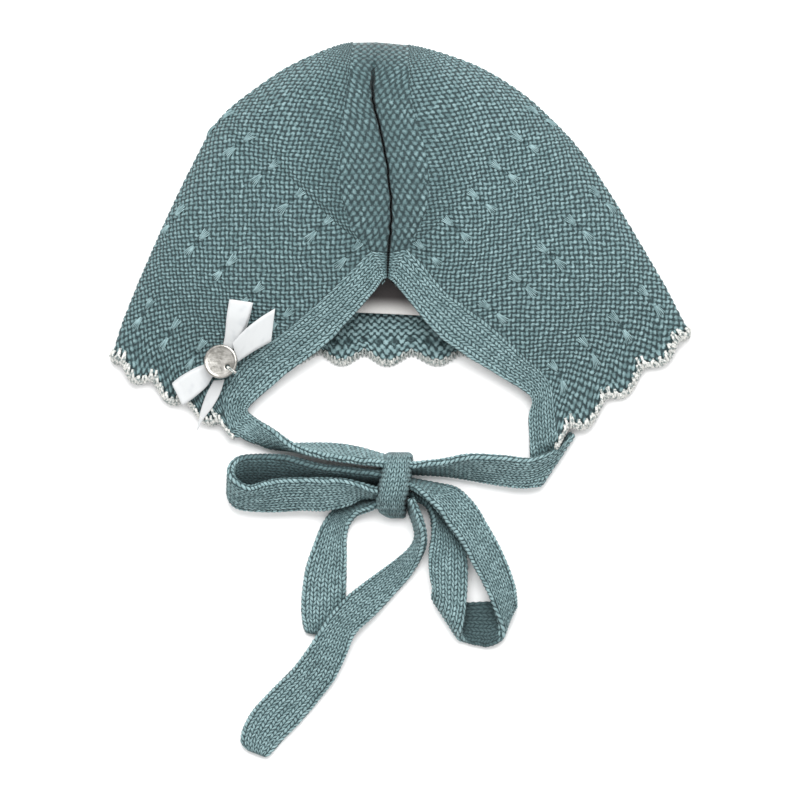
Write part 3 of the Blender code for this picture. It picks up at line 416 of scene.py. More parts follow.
# The satin bow: each row is one section, with x and y of its two edges and the height above the knitting
RIBBON_SECTIONS = 12
RIBBON_POINTS = 9
RIBBON_SMOOTHING = 5
RIBBON_EDGE = (0.55, 16.0)
RIBBON_LOOP_UPPER = (
    (-71.6, 20.4, -67.0, 21.0, 1.2),
    (-70.2, 26.0, -62.6, 27.0, 1.2),
    (-69.4, 33.0, -60.4, 33.4, 1.2),
    (-68.8, 39.0, -59.4, 37.8, 1.4),
    (-68.6, 40.0, -59.2, 38.6, 2.6),
    (-68.8, 39.4, -59.4, 38.0, 3.8),
    (-69.8, 33.0, -61.6, 31.6, 3.6),
    (-70.4, 26.0, -64.6, 24.8, 2.6),
    (-71.4, 21.0, -67.6, 19.8, 2.3),
)
RIBBON_LOOP_LOWER = (
    (-77.4, 14.6, -75.0, 10.2, 0.9),
    (-82.0, 13.0, -78.0, 5.6, 0.9),
    (-88.0, 9.6, -84.0, 0.4, 1.0),
    (-91.0, 7.2, -86.8, -1.6, 1.5),
    (-91.4, 6.6, -87.2, -2.0, 2.6),
    (-90.8, 6.8, -86.6, -1.8, 3.7),
    (-86.0, 10.4, -82.0, 1.6, 3.5),
    (-81.0, 12.8, -77.6, 5.6, 2.6),
    (-77.6, 14.2, -75.2, 9.6, 2.3),
)
RIBBON_END_UPPER = (
    (-67.4, 22.8, -65.6, 15.0, 3.8),
    (-62.8, 27.8, -60.0, 18.8, 4.2),
    (-56.8, 32.6, -55.2, 21.6, 4.4),
    (-50.4, 36.6, -52.0, 23.4, 3.6),
)
RIBBON_END_LOWER = (
    (-75.0, 7.8, -70.6, 8.2, 0.9),
    (-78.0, 2.0, -72.2, 3.0, 1.0),
    (-80.2, -4.6, -75.2, -2.6, 1.1),
    (-81.6, -12.0, -79.8, -8.6, 0.4),
)

# Straps that run on into the band further than this start thin, under its surface
SUNK_START = 2.0

# Rows of a strap's table that lie deep inside a loop, and the share of light there
LOOP_SHADE = {"bow_loop_right": (9.6, 14.0, 0.3), "bow_loop_left": (-0.5, 6.4, 0.45)}

# Each strap, and how far it runs on into the band or the knot at its two ends
STRAPS = (
    ("tie_right", TIE_RIGHT, 3.6, 1.5),
    ("tie_left", TIE_LEFT, 4.2, 1.5),
    ("bow_loop_left", LOOP_LEFT, 1.5, 1.5),
    ("bow_loop_right", LOOP_RIGHT, 1.5, 1.5),
    ("tie_end_short", END_SHORT, 1.5, 0.0),
    ("tie_end_long", END_LONG, 1.5, 0.0),
)
RIBBONS = (
    ("ribbon_loop_upper", RIBBON_LOOP_UPPER),
    ("ribbon_loop_lower", RIBBON_LOOP_LOWER),
    ("ribbon_end_upper", RIBBON_END_UPPER),
    ("ribbon_end_lower", RIBBON_END_LOWER),
)

# The button lies on the crossing of the satin bow, its thread runs from the hole over the rim
BUTTON_X = -72.1
BUTTON_Y = 15.4
BUTTON_LIFT = 6.8
BUTTON_RADIUS = 6.8
BUTTON_THICK = 1.5
BUTTON_ROUNDING = 0.35
BUTTON_SIDES = 96
BUTTON_TILT = (math.radians(-4), math.radians(-12))
HOLE_RADIUS = 0.85
HOLE_OFFSET = 3.6
HOLE_ANGLE = math.radians(-37)
HOLE_SINK = 0.18
HOLE_SINK_WIDTH = 0.35
BUTTON_RINGS = 40
BUTTON_CROWDING = 1.6
THREAD_RADIUS = 0.279
THREAD_LEAN = 0.22
THREAD_SPREAD = (0.5, 1.3)
THREAD_POINTS = 36
# The thread's run: distance from the middle of the button, and height
THREAD_PATH = (
    (3.6, -1.35), (3.6, 0.0), (3.9, 1.0), (5.0, 1.2), (6.65, 1.17), (7.35, 0.65), (7.4, -0.75), (7.15, -1.55),
)
RIM_RADIUS = 6.1
RIM_WIDTH = 0.4
RIM_RISE = 0.16
DISH = 0.12

# The label inside the nape: y and z of its middle line
LABEL_MIDDLE_X = -4.6
LABEL_WIDTH = 34.0
LABEL_TILT = 1.6
LABEL_BOW = 0.35
LABEL_POINTS = 33
LABEL = ((34.4, 6.8), (41.0, 9.2), (47.6, 12.2), (53.0, 14.6))
LABEL_SHADE = (34.4, 41.6)

# Motifs of loose strands, by ridge and stitch
FLOAT_ROWS = (
    (7.6, (2, 8, 14, 20)),
    (23.0, (2, 8, 14, 20, 26)),
    (38.0, (2, 8, 14, 20, 26, 32)),
)
FLOAT_OFFSET = 1.75
FLOAT_HALF = 1.0
FLOAT_STRANDS = 5
FLOAT_RADIUS = 0.25
FLOAT_RISE = 0.85
FLOAT_HOLE = 0.8
FLOAT_POINTS = 9
FLOAT_FAN = (0.2, 0.11)
FLOAT_LIGHT = (0.76, 1.14)

# Light that reaches into the folds: rays cast from each place, how far they look and what is left in the dark
SKY_RAYS = 20
SKY_REACH = 14.0
SKY_START = 0.9
SKY_ROWS = 60
SKY_COLUMNS = 62
SKY_LEAST = 0.12

# Colours
PEARL = (0.66, 0.655, 0.625)
PEARL_DEEP = (0.17, 0.21, 0.205)
SATIN_WHITE = (0.51, 0.525, 0.53)
SATIN_SHADE = (0.42, 0.44, 0.455)
NICKEL = (0.37, 0.36, 0.338)
NICKEL_DEEP = (0.17, 0.165, 0.15)
LABEL_WHITE = (0.54, 0.53, 0.515)
LABEL_DARK = (0.03, 0.025, 0.025)
FLOOR_WHITE = (0.9, 0.9, 0.9)

# Floor, camera and light, in metres and watts
FLOOR_REACH = 8.0
CAMERA_WIDTH = 0.32
CAMERA_PLACE = (-0.0004, 0, 1.0)
KEY_PLACE = (0.0, 0.55, 0.9)
KEY_SIZE = 0.8
KEY_POWER = 14.2


def by_name(names, rows):
    """The columns of a table by their names."""
    return dict(zip(names.split(), np.array(rows, float).T))


ROWS = {"right": by_name(ROW_COLUMNS, RIGHT_ROWS), "left": by_name(ROW_COLUMNS, LEFT_ROWS)}
OPENINGS = {"right": by_name(OPENING_COLUMNS, OPENING_RIGHT), "left": by_name(OPENING_COLUMNS, OPENING_LEFT)}
BAND_ENDS = {"right": BAND_END_RIGHT, "left": BAND_END_LEFT}
OUTLINE_STITCHES = {"right": np.array(OUTLINE_RIGHT).T, "left": np.array(OUTLINE_LEFT).T}
OUTWARD = {"right": 1.0, "left": -1.0}
CREASE_LINE = by_name(CREASE_COLUMNS, CREASE)
FIRST_ROW, LAST_ROW, FIRST_COLUMN, LAST_COLUMN = range(4)


def curve_through(places, known, values):
    """A smooth curve through the table's values, its slope at each one taken from its neighbours."""
    places, known, values = (np.asarray(each, float) for each in (places, known, values))
    slopes = np.gradient(values, known)
    index = np.clip(np.searchsorted(known, places, side="right") - 1, 0, len(known) - 2)
    span = known[index + 1] - known[index]
    inside = np.clip(places, known[0], known[-1])
    t = (inside - known[index]) / span
    rise = values[index + 1] - values[index]
    first, second = span * slopes[index], span * slopes[index + 1]
    bend = 3 * rise - 2 * first - second + t * (first + second - 2 * rise)
    curve = values[index] + t * (first + t * bend)
    end_slope = np.where(places > known[-1], slopes[-1], slopes[0])
    return curve + (places - inside) * end_slope


def curves_through(places, rows):
    """Smooth curves through a table's rows, counted from 0, with one curve for each column."""
    rows = np.asarray(rows, float)
    return np.stack([curve_through(places, range(len(rows)), values) for values in rows.T], axis=1)


def sections(table, per_row):
    """The sections of a strip, with more of them between the table's rows."""
    return curves_through(np.linspace(0, len(table) - 1, per_row * (len(table) - 1) + 1), table)


def unit(ways):
    """Ways made one long."""
    return ways / np.maximum(np.linalg.norm(ways, axis=-1, keepdims=True), 1e-9)


def quarter(share):
    """Height of a quarter circle at a share of the way in from its foot."""
    return np.sqrt(1 - (1 - np.clip(share, 0, 1)) ** 2)


def run_length(points):
    """Distance along a line to each of its points."""
    return np.concatenate(([0.0], np.cumsum(np.linalg.norm(np.diff(points, axis=0), axis=1))))


def between(places, known, values):
    """Each column of some values, read between its known places."""
    return np.stack([np.interp(places, known, line) for line in values.T], axis=1)


def along(points, shares):
    """Points at the given shares of a line's length."""
    length = run_length(points)
    return between(shares * length[-1], length, points)


def directions(points):
    """Unit direction of a line at each of its points."""
    return unit(np.gradient(points, axis=0))


def row_value(side, name, ridge):
    """A value of the row table at a ridge. The neck edge has a corner at the nape, the rest is smooth."""
    ridges, values = ROWS[side]["ridge"], ROWS[side][name]
    if name in ("start_x", "start_y"):
        part = ridges <= NAPE if ridge <= NAPE else ridges >= NAPE
        ridges, values = ridges[part], values[part]
    return float(curve_through(ridge, ridges, values))


def plan_point(side, name, ridge):
    return np.array([row_value(side, f"{name}_{axis}", ridge) for axis in "xy"])


def outline():
    """Points of the outline, where the upper layer turns under, from the right corner over the crown."""
    ridges = np.linspace(LEVEL_START, CROWN, OUTLINE_POINTS)
    right, left = ([plan_point(side, "edge", ridge) for ridge in ridges] for side in ROWS)
    return np.array(right + left[::-1])


OUTLINE = outline()


def inset_from_outline(plan):
    """Distance of each point of the plan from the outline."""
    return np.min(np.linalg.norm(plan[:, None, :] - OUTLINE[None, :, :], axis=2), axis=1)


def bezier(points, t):
    a, b, c, d = points
    t = t[:, None]
    return a * (1 - t) ** 3 + 3 * b * t * (1 - t) ** 2 + 3 * c * t * t * (1 - t) + d * t**3


def knit_row(side, ridge, shares):
    """One row of knitting as two lines: over the upper layer to the outline, and under to the brow."""
    v = {name: row_value(side, name, ridge) for name in ROWS[side]}
    start, edge = (plan_point(side, name, ridge) for name in ("start", "edge"))
    nearest, farthest = ROWS["right"]["mid_y"][[0, -1]]
    crown_share = (v["mid_y"] - nearest) / (farthest - nearest)
    middle = np.array((BROW_MIDDLE_X + (CROWN_MIDDLE_X - BROW_MIDDLE_X) * crown_share, v["mid_y"]))
    outward = OUTWARD[side]
    turns = np.radians((v["leave"], v["arrive"]))
    leave, arrive = (np.array((outward * math.cos(turn), math.sin(turn))) for turn in turns)
    t = 1 - (1 - np.linspace(0, 1, ROW_SAMPLES)) ** ROW_CROWDING
    reach = np.linalg.norm(edge - start) / 3
    upper = bezier((start, start + leave * reach, edge - arrive * reach, edge), t)
    radius = FOLD_RADIUS + FOLD_RADIUS_GAIN * max(ridge, 0.0) / CROWN
    inset = inset_from_outline(upper)
    inset[-1] = 0.0
    top = v["start_z"] * (1 - t) + v["edge_z"] * t + v["bulge"] * 4 * t * (1 - t)
    upper = np.column_stack((upper, radius + (top - radius) * quarter(inset / SHOULDER)))

    after = plan_point(side, "edge", min(ridge + EDGE_STEP, CROWN))
    tangent = unit(after - plan_point(side, "edge", ridge - EDGE_STEP))
    turned = 2 * arrive.dot(tangent) * tangent - arrive
    fade = 1 - np.clip((ridge - UNDER_STRAIGHT_RIDGE) / (CROWN - UNDER_STRAIGHT_RIDGE), 0, 1) ** 2
    reach = np.linalg.norm(middle - edge) * fade / 3
    t = np.linspace(0, 1, ROW_SAMPLES) ** ROW_CROWDING
    lower = bezier((edge, edge + turned * reach, middle + np.array((outward, 0.0)) * reach, middle), t)
    inset = inset_from_outline(lower)
    inset[0] = 0.0
    if ridge >= CROWN:
        inset[:] = 0.0
    lower = np.column_stack((lower, radius * (1 - quarter(inset / radius))))
    return along(upper, shares), along(lower, shares)


def row_stack(side):
    """The rows of one side at even steps of ridge, and the length of each one's upper line."""
    shares = np.linspace(0, 1, ROW_SHARES)
    upper, lower = (np.array(layer) for layer in zip(*(knit_row(side, level, shares) for level in LEVELS)))
    span = np.linalg.norm(np.diff(upper, axis=1), axis=2).sum(axis=1)
    return {"upper": upper, "lower": lower, "span": span}


LEVELS = np.arange(LEVEL_START, CROWN + LEVEL_STEP / 2, LEVEL_STEP)
STACKS = {side: row_stack(side) for side in ROWS}


def sample_rows(side, layer, ridge, share):
    """Points between the rows of a layer, at ridges and shares of their length."""
    lines = STACKS[side][layer]
    place = np.clip((ridge - LEVELS[0]) / LEVEL_STEP, 0, len(LEVELS) - 1.001)
    spot = np.clip(share * (ROW_SHARES - 1), 0, ROW_SHARES - 1.001)
    low, left = place.astype(int), spot.astype(int)
    part, bit = (place - low)[..., None], (spot - left)[..., None]
    one, two = (lines[row, left] * (1 - bit) + lines[row, left + 1] * bit for row in (low, low + 1))
    return one * (1 - part) + two * part


def row_start(side, ridge):
    return sample_rows(side, "upper", ridge, 0.0)


def outline_stitch(side, ridge):
    return np.interp(ridge, *OUTLINE_STITCHES[side])


def seam_stitch(side, ridge):
    """Stitch place where a row starts: 0 at the neck edge, and further on along the panel's seam."""
    span, at_nape = (np.interp(place, LEVELS, STACKS[side]["span"]) for place in (ridge, NAPE))
    share = np.clip((ridge - NAPE) / SEAM_RIDGES, 0, 1)
    pitch = at_nape / outline_stitch(side, NAPE) * (1 - share) + CROWN_STITCH * share
    return np.where(ridge <= NAPE, 0.0, outline_stitch(side, ridge) - span / pitch)


def scallop(stitches):
    """0 at the notch between two scallops and 1 at the foot of one."""
    turn = (stitches - SCALLOP_START) / SCALLOP_STITCHES
    wave = (0.5 - 0.5 * np.cos(2 * np.pi * turn)) ** SCALLOP_ROUNDING
    calm = np.clip(abs(stitches - EDGE_STITCH) / SCALLOP_CALM, 0, 1)
    return 0.5 + (wave - 0.5) * calm


def shell_points(side, ridge, stitch):
    """Points of the shell's outer surface at arrays of ridges and stitches."""
    level = ridge - SCALLOP_DEPTH * np.clip(1 - ridge / SCALLOP_FADE, 0, None) ** 2 * scallop(stitch)
    edge = outline_stitch(side, ridge)
    start = seam_stitch(side, ridge)
    over = np.clip((stitch - start) / np.maximum(edge - start, 0.01), 0, 1)
    under = np.clip((stitch - edge) / (MIDDLE_STITCH - edge), 0, 1)
    upper, lower = (sample_rows(side, *layer) for layer in (("upper", level, over), ("lower", level, under)))
    return np.where((stitch < edge)[..., None], upper, lower)


def lower_points(ridge, stitch):
    """Points of the lower layer, its stitches counted on past the brow's middle to the left side."""
    right, left = (shell_points(side, ridge, np.minimum(place, MIDDLE_STITCH))
                   for side, place in (("right", stitch), ("left", 2 * MIDDLE_STITCH - stitch)))
    return np.where((stitch <= MIDDLE_STITCH)[..., None], right, left)


def from_neck(stitch):
    """Stitches from the nearer end of a row that is counted on past the brow's middle."""
    return np.minimum(stitch, 2 * MIDDLE_STITCH - stitch)


def grid_normals(grid, flip=False):
    """Direction out of a grid of points at each of them."""
    way = np.cross(np.gradient(grid, axis=1), np.gradient(grid, axis=0)) * (-1 if flip else 1)
    lost = np.linalg.norm(way, axis=2) < 1e-7
    way = unit(way)
    for i in range(1, len(way)):
        way[i, lost[i]] = way[i - 1, lost[i]]
    return way


def smooth_noise(u, v, seed, scale):
    """Even noise between -1 and 1 over a plane, the same each run."""
    size = 256
    values = np.random.default_rng(seed).uniform(-1, 1, (size, size))
    u, v = np.asarray(u) / scale, np.asarray(v) / scale
    ui, vi = np.floor(u).astype(int), np.floor(v).astype(int)
    uf, vf = (part * part * (3 - 2 * part) for part in (u - ui, v - vi))
    low, high = (values[ui % size, row % size] * (1 - uf) + values[(ui + 1) % size, row % size] * uf
                 for row in (vi, vi + 1))
    return low * (1 - vf) + high * vf


def worked_by(operation):
    """A method that puts a term and what follows it through one Math node."""
    return lambda *values: values[0].node(operation, *values)


class Term:
    """A number worked out by shader nodes, so that one formula serves the mesh and its material."""

    def __init__(self, tree, socket):
        self.tree = tree
        self.socket = socket

    def node(self, operation, *values):
        made = self.tree.nodes.new("ShaderNodeMath")
        made.operation = operation
        for place, value in zip(made.inputs, values):
            if isinstance(value, Term):
                self.tree.links.new(value.socket, place)
            else:
                place.default_value = value
        return Term(self.tree, made.outputs[0])

    __add__ = worked_by("ADD")
    __sub__ = worked_by("SUBTRACT")
    __mul__ = worked_by("MULTIPLY")
    __mod__ = worked_by("FLOORED_MODULO")
    __abs__ = worked_by("ABSOLUTE")
    sin = worked_by("SINE")
    sqrt = worked_by("SQRT")
    at_least = worked_by("MAXIMUM")


def at_least(value, low):
    return value.at_least(low) if isinstance(value, Term) else np.maximum(value, low)


def garter_relief(u, v):
    """Broad shape of garter knitting at places in stitches and ridges: two rows of bumps to a ridge."""
    turn, rise = u * (2 * math.pi), v * (2 * math.pi)
    return np.cos(turn) * np.sin(rise) * -BUMP_RISE - np.cos(rise) * RIDGE_RISE


def bump(away, rise, slant, bend, size):
    """A plump bent bump round a place, from 0 up to 1."""
    lean = away + rise * slant
    bent = rise + away * away * bend
    room = lean * lean * (1 / size[0] ** 2) + bent * bent * (1 / size[1] ** 2)
    return at_least(room * -1.0 + 1.0, 0.0)


def garter_height(slant, size=BUMP_SIZE):
    """Fine shape of garter knitting: each ridge is a row of arcs over a row of arcs, half a stitch on."""

    def height(u, v):
        over = u % 1.0 - 0.5, (v + 0.25) % 1.0 - 0.5
        below = (u + 0.5) % 1.0 - 0.5, (v + 0.75) % 1.0 - 0.5
        arcs = bump(*over, slant, BUMP_BEND, size) + bump(*below, slant, -BUMP_BEND, size)
        linked = at_least(arcs * -1.0, -1.0) * (HEAD_SHARE - 1.0)
        heads = [bump(*over, slant * HEAD_SLANT, HEAD_BEND, HEAD_SIZE),
                 bump(*below, slant * HEAD_SLANT, -HEAD_BEND, HEAD_SIZE)]
        return linked + at_least(*heads) * HEAD_SHARE

    return height


def panel_height(u, v):
    """Garter knitting pulled along its columns, with a valley between its ridges that is darkened by painted
    shade.
    """
    bumps = garter_height(SLANT_LEFT, PANEL_BUMP_SIZE)(u, v)
    valley = at_least(np.sin(v % 1.0 * math.pi) * -PANEL_VALLEY + 1.0, 0.0)
    return bumps * (valley * -0.5 + 1.0)


def stocking_height(u, v):
    """Smooth knitting at places in columns and rows: two slanted legs in each column, from 0 up to 1."""
    half = abs(u % 1.0 - 0.5) * 2.0
    leg = (v - half * LEG_SLANT) % 1.0 * 2.0 - 1.0
    round_top = np.sqrt(at_least(leg * leg * -1.0 + 1.0, 0.0))
    edge = half * 2.0 - 1.0
    return round_top * (edge * edge * edge * edge * -1.0 + 1.0)


def leg_relief(u, v):
    return stocking_height(u, v) * LEG_RISE - LEG_SINK


def uneven(u, v, seed, share):
    """Places moved a little, as a hand or an old machine leaves its stitches."""
    du = smooth_noise(u, v, seed, 1.3) + smooth_noise(u, v, seed + 1, 3.1)
    dv = smooth_noise(u, v, seed + 2, 1.3) + smooth_noise(u, v, seed + 3, 3.7)
    return u + du * share, v + dv * share


def ridge_count(ridge):
    """Ridges really knitted up to a place, which are wider above the nape."""
    return np.where(ridge <= NAPE, ridge, NAPE + (ridge - NAPE) * CROWN_RIDGES / (CROWN - NAPE))


def quads(rows, cols, first=0, flip=False, closed=False, ring=False):
    """Faces of a grid of points from the first one on, its columns closed or its rows made a ring."""
    index = first + np.arange(rows * cols).reshape(rows, cols)
    if closed:
        index = np.concatenate((index, index[:, :1]), axis=1)
    if ring:
        index = np.concatenate((index, index[:1]))
    a, b, c, d = index[:-1, :-1], index[:-1, 1:], index[1:, 1:], index[1:, :-1]
    order = (d, c, b, a) if flip else (a, b, c, d)
    return np.stack([part.ravel() for part in order], axis=1).tolist()


def tube_faces(rows, sides, first=0):
    """Faces of a row of rings with both its ends closed."""
    last = first + rows * sides - 1
    ends = [list(range(first, first + sides)), list(range(last, last - sides, -1))]
    return quads(rows, sides, first, True, True) + ends


def border(rows, cols):
    """Places round a grid's edge, from its first corner."""
    down, across = range(rows - 1), range(cols - 1)
    ring = [(0, j) for j in across] + [(i, cols - 1) for i in down]
    return ring + [(rows - 1, cols - 1 - j) for j in across] + [(rows - 1 - i, 0) for i in down]


def wall_mesh(outer, inner, step, flip):
    """Points and faces of a closed wall: a fine outer grid, a coarser inner one and the rim between them."""
    rows, cols = outer.shape[:2]
    in_rows, in_cols = inner.shape[:2]
    verts = np.concatenate((outer.reshape(-1, 3), inner.reshape(-1, 3)))
    base = rows * cols
    faces = quads(rows, cols, 0, flip) + quads(in_rows, in_cols, base, not flip)
    ring = border(rows, cols)
    marks = [n for n, (i, j) in enumerate(ring) if i % step == 0 and j % step == 0]
    for n, mark in enumerate(marks):
        end = marks[(n + 1) % len(marks)]
        stop = end if end > mark else end + len(ring)
        fine = [ring[k % len(ring)] for k in range(mark, stop + 1)]
        ends = [base + i // step * in_cols + j // step for i, j in (fine[0], fine[-1])]
        face = [i * cols + j for i, j in fine][::-1] + ends
        faces.append(face[::-1] if flip else face)
    return verts, faces


GRIDS = []


def placed(name, data, location=(0, 0, 0)):
    """A new object of the scene."""
    made = bpy.data.objects.new(name, data)
    made.location = location
    bpy.context.scene.collection.objects.link(made)
    return made


def new_piece(name, verts, faces, look, replaced, places=None, grid=None):
    """A mesh object that rides on the bonnet and stands for CAD nodes."""
    mesh = bpy.data.meshes.new(name)
    verts = np.array(verts)
    verts[:, 2] = np.maximum(verts[:, 2], FLOOR_GAP)
    mesh.from_pydata((verts * MM).tolist(), [], faces)
    mesh.materials.append(look)
    if places is not None:
        layer = mesh.attributes.new("stitch", "FLOAT_VECTOR", "POINT")
        layer.data.foreach_set("vector", np.asarray(places, np.float32).ravel())
    mesh.shade_smooth()
    made = placed(name, mesh)
    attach(made, "root")
    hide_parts(*replaced)
    if grid:
        GRIDS.append((made, grid))
    return made


def wall_piece(name, look, node, outer, inner, step, flip, places, shaded=True):
    """A piece with a fine outer face, a plain inner one, and places in stitches on both."""
    verts, faces = wall_mesh(outer, inner[::step, ::step], step, flip)
    places = np.concatenate((places.reshape(-1, 3), places[::step, ::step].reshape(-1, 3)))
    return new_piece(name, verts, faces, look, [node], places, outer.shape[:2] if shaded else None)


def gathered(points, ways):
    """Ways through the wall, turned toward one inner point at the crown."""
    near = np.clip((points[..., 1] - CROWN_START) / (CROWN_END - CROWN_START), 0, 1)
    share = near[..., None] * CROWN_GATHER
    return unit(ways * (1 - share) + unit(points - np.array(CROWN_HEART)) * share)


def edge_fade(shape, sides, width):
    """1 inside a grid, falling to 0 at the named sides."""
    down, across = (np.arange(count) / width for count in shape)
    away = (down[:, None], down[::-1, None], across[None, :], across[None, ::-1])
    fade = np.ones(shape)
    for side in sides:
        fade = np.minimum(fade, np.clip(away[side], 0, 1))
    return fade


def eyelets(stitch, ridge):
    """1 in the small holes along the face edge and in the middle of each motif, and 0 away from them."""

    def hole(stitches, ridges, radius):
        away = np.hypot(stitches * GARTER_STITCH, ridges * GARTER_RIDGE)
        return np.clip(EYELET_REACH - away / radius, 0, 1)

    open_share = hole((stitch - 1.0) % 2.0 - 1.0, ridge - EYELET_RIDGE, EYELET_RADIUS)
    near_brow = np.clip((from_neck(stitch) - SPLIT_STITCH) / EYELET_FADE, 0, 1)
    open_share = open_share * (FLAP_EYELET + (1 - FLAP_EYELET) * near_brow)
    for middle, stitches in FLOAT_ROWS:
        for place in stitches:
            motif = hole(stitch - place, ridge - middle, FLOAT_HOLE_RADIUS) * FLOAT_HOLE
            open_share = np.maximum(open_share, motif)
    return open_share


def cut_size(base):
    """Width and length of a piece of knitting before it was bent, and its area, in metres."""
    across, down = np.diff(base, axis=1), np.diff(base, axis=0)
    width = np.linalg.norm(across, axis=2).sum(axis=1).max()
    length = np.linalg.norm(down, axis=2).sum(axis=0).max()
    area = np.linalg.norm(np.cross(across[:-1], down[:, :-1]), axis=2).sum()
    return width * MM, length * MM, area * MM * MM


def shell_piece(name, look, base, stitch, ridge, flip, seed, fade=1.0, inside=False, light=1.0):
    """A part of the shell with knitted relief on its outer face, or on its inner one if that one shows."""
    ways = grid_normals(base, flip)
    u, v = uneven(stitch, ridge_count(ridge), seed, UNEVEN)
    holes = eyelets(stitch, ridge)
    relief = garter_relief(u, v) * fade - holes * EYELET_DEPTH
    down = gathered(base, ways)
    if inside:
        outer = base - down * (WALL + relief)[..., None]
        inner = base - ways * REST_SINK
    else:
        flat = np.clip(-ways[..., 2], 0, 1)
        outer = base + ways * (relief - flat * RELIEF_TOP)[..., None]
        inner = base - down * (WALL - INNER_SINK)
    # Painted shade darkens the eyelets and motif holes, and light is a share of painted light
    places = np.stack((u, v, (1 - holes) * light), axis=-1)
    made = wall_piece(name, look, "hat_body", outer, inner, SHELL_STEP, flip != inside, places)
    return made, cut_size(base)


def sample_count(number):
    """A count of samples that the steps of the inner face divide."""
    return math.ceil(number / SHELL_STEP) * SHELL_STEP


def ridge_places(first, samples):
    """Ridges at even steps from the first one to the crown, closer where the rows stand closer."""
    below = np.linspace(first, NAPE, sample_count((NAPE - first) * samples) + 1)
    above = np.linspace(NAPE, CROWN, sample_count(CROWN_RIDGES * samples) + 1)
    return np.concatenate((below, above[1:]))


def side_piece(side, look):
    """One side of the shell, from the neck edge or the seam over the fold to the underside."""
    ridges = ridge_places(TRIM_RIDGES, SIDE_SAMPLES)[:, None]
    start = seam_stitch(side, ridges)
    shares = np.linspace(0, 1, sample_count(SPLIT_STITCH * SIDE_SAMPLES) + 1)
    stitch = start + (SPLIT_STITCH - start) * shares
    ridge = np.repeat(ridges, len(shares), axis=1)
    fade = edge_fade(stitch.shape, [FIRST_COLUMN], 2)
    near = np.clip(1 - (stitch - start) / SEAM_SHADE_STITCHES, 0, 1)
    low, high = SEAM_SHADE_RIDGES
    light = 1 - SEAM_SHADE * near * np.clip((ridge - low) / (high - low), 0, 1)
    base = shell_points(side, ridge, stitch)
    return shell_piece(f"knit_side_{side}", look, base, stitch, ridge, side == "left", SEED, fade,
                       light=light)


def lower_piece(name, look, ridges, samples, inside, light=1.0):
    """A part of the lower layer, from one side's underside across to the other's."""
    count = sample_count(2 * (MIDDLE_STITCH - SPLIT_STITCH) * samples)
    stitches = np.linspace(SPLIT_STITCH, 2 * MIDDLE_STITCH - SPLIT_STITCH, count + 1)
    ridge, stitch = np.meshgrid(ridges, stitches, indexing="ij")
    base = lower_points(ridge, stitch)
    return shell_piece(name, look, base, stitch, ridge, False, SEED, inside=inside, light=light)


def crease_row(ridge, columns):
    """Points of one row of the back panel from the right seam to the left, and their places in stitches."""
    x, y, depth = (float(curve_through(ridge, CREASE_LINE["ridge"], CREASE_LINE[name]))
                   for name in ("x", "y", "depth"))
    depth = max(depth, 0.0)
    x += CREASE_WANDER * float(smooth_noise(ridge, 0.5, SEED + 30, CREASE_WANDER_RIDGES))
    camber = PANEL_CAMBER * min(1.0, (CROWN - ridge) / CAMBER_RIDGES)
    seams = [row_start(side, ridge) for side in ROWS]
    top = np.array((x, y, (seams[0][2] + seams[1][2]) / 2 + camber))
    known, drops = np.array(CREASE_PROFILE[::-1]).T
    shares = np.linspace(0, 1, columns + 1)
    away = np.linspace(0, 1, CREASE_SAMPLES) ** CREASE_CROWDING
    halves, places = [], []
    for seam in seams:
        width = max(np.linalg.norm((seam - top)[:2]), 0.01)
        widest = CREASE_REACH * width / CREASE_PROFILE[0][0]
        spread = min(1 + (1 - depth / CREASE_DEEPEST) * CREASE_SPREAD, widest)
        line = top + (seam - top) * away[:, None]
        line[:, 2] += camber * 0.5 * np.sin(np.pi * away) * np.clip(away * 4, 0, 1)
        line[:, 2] -= np.interp(away * width / spread, known, drops) * depth
        halves.append(along(line, shares))
        places.append(shares * run_length(line)[-1] / PANEL_STITCH)
    points = np.concatenate((halves[0][::-1], halves[1][1:]))
    return points, np.concatenate((places[0][::-1], -places[1][1:]))


def back_panel(look):
    """The panel between the two seams, knitted straight across, with the crease down its middle."""
    ridges = np.linspace(NAPE, CROWN, sample_count(CROWN_RIDGES * PANEL_SAMPLES) + 1)
    base, stitch = (np.array(part) for part in zip(*(crease_row(ridge, PANEL_COLUMNS) for ridge in ridges)))
    ridge = np.repeat(ridges[:, None], base.shape[1], axis=1)
    slope = np.clip(np.abs(grid_normals(base)[..., 2]) * PANEL_SLOPE, 0, 1)
    fade = edge_fade(stitch.shape, [FIRST_COLUMN, LAST_COLUMN], 2) * (0.1 + 0.9 * slope) * PANEL_RELIEF
    away = np.abs(np.linspace(-1, 1, base.shape[1]))
    light = 1 + PANEL_SEAM_LIGHT * away**PANEL_SEAM_SPREAD
    return shell_piece("knit_back_panel", look, base, stitch, ridge, True, SEED + 20, fade, light=light)


def strap_frames(table, before, after):
    """Edges of a strap's sections at even steps of its length, run on a little past either end."""
    values = sections(table, STRAP_SECTIONS)
    middle = (values[:, :3] + values[:, 3:]) / 2
    for at, other, reach in ((0, 1, before), (-1, -2, after)):
        if reach:
            row = (values[at] + np.tile(unit(middle[at] - middle[other]) * reach, 2))[None]
            values = np.concatenate((row, values) if at == 0 else (values, row))
    length = run_length((values[:, :3] + values[:, 3:]) / 2)
    count = max(int(length[-1] / (STRAP_ROW / STRAP_ROW_SAMPLES)), 4)
    wanted = np.linspace(0, length[-1], count + 1)
    even = between(wanted, length, values)
    row = np.interp(wanted, length, np.linspace(0, len(table) - 1, len(length)))
    return even[:, :3], even[:, 3:], wanted, row


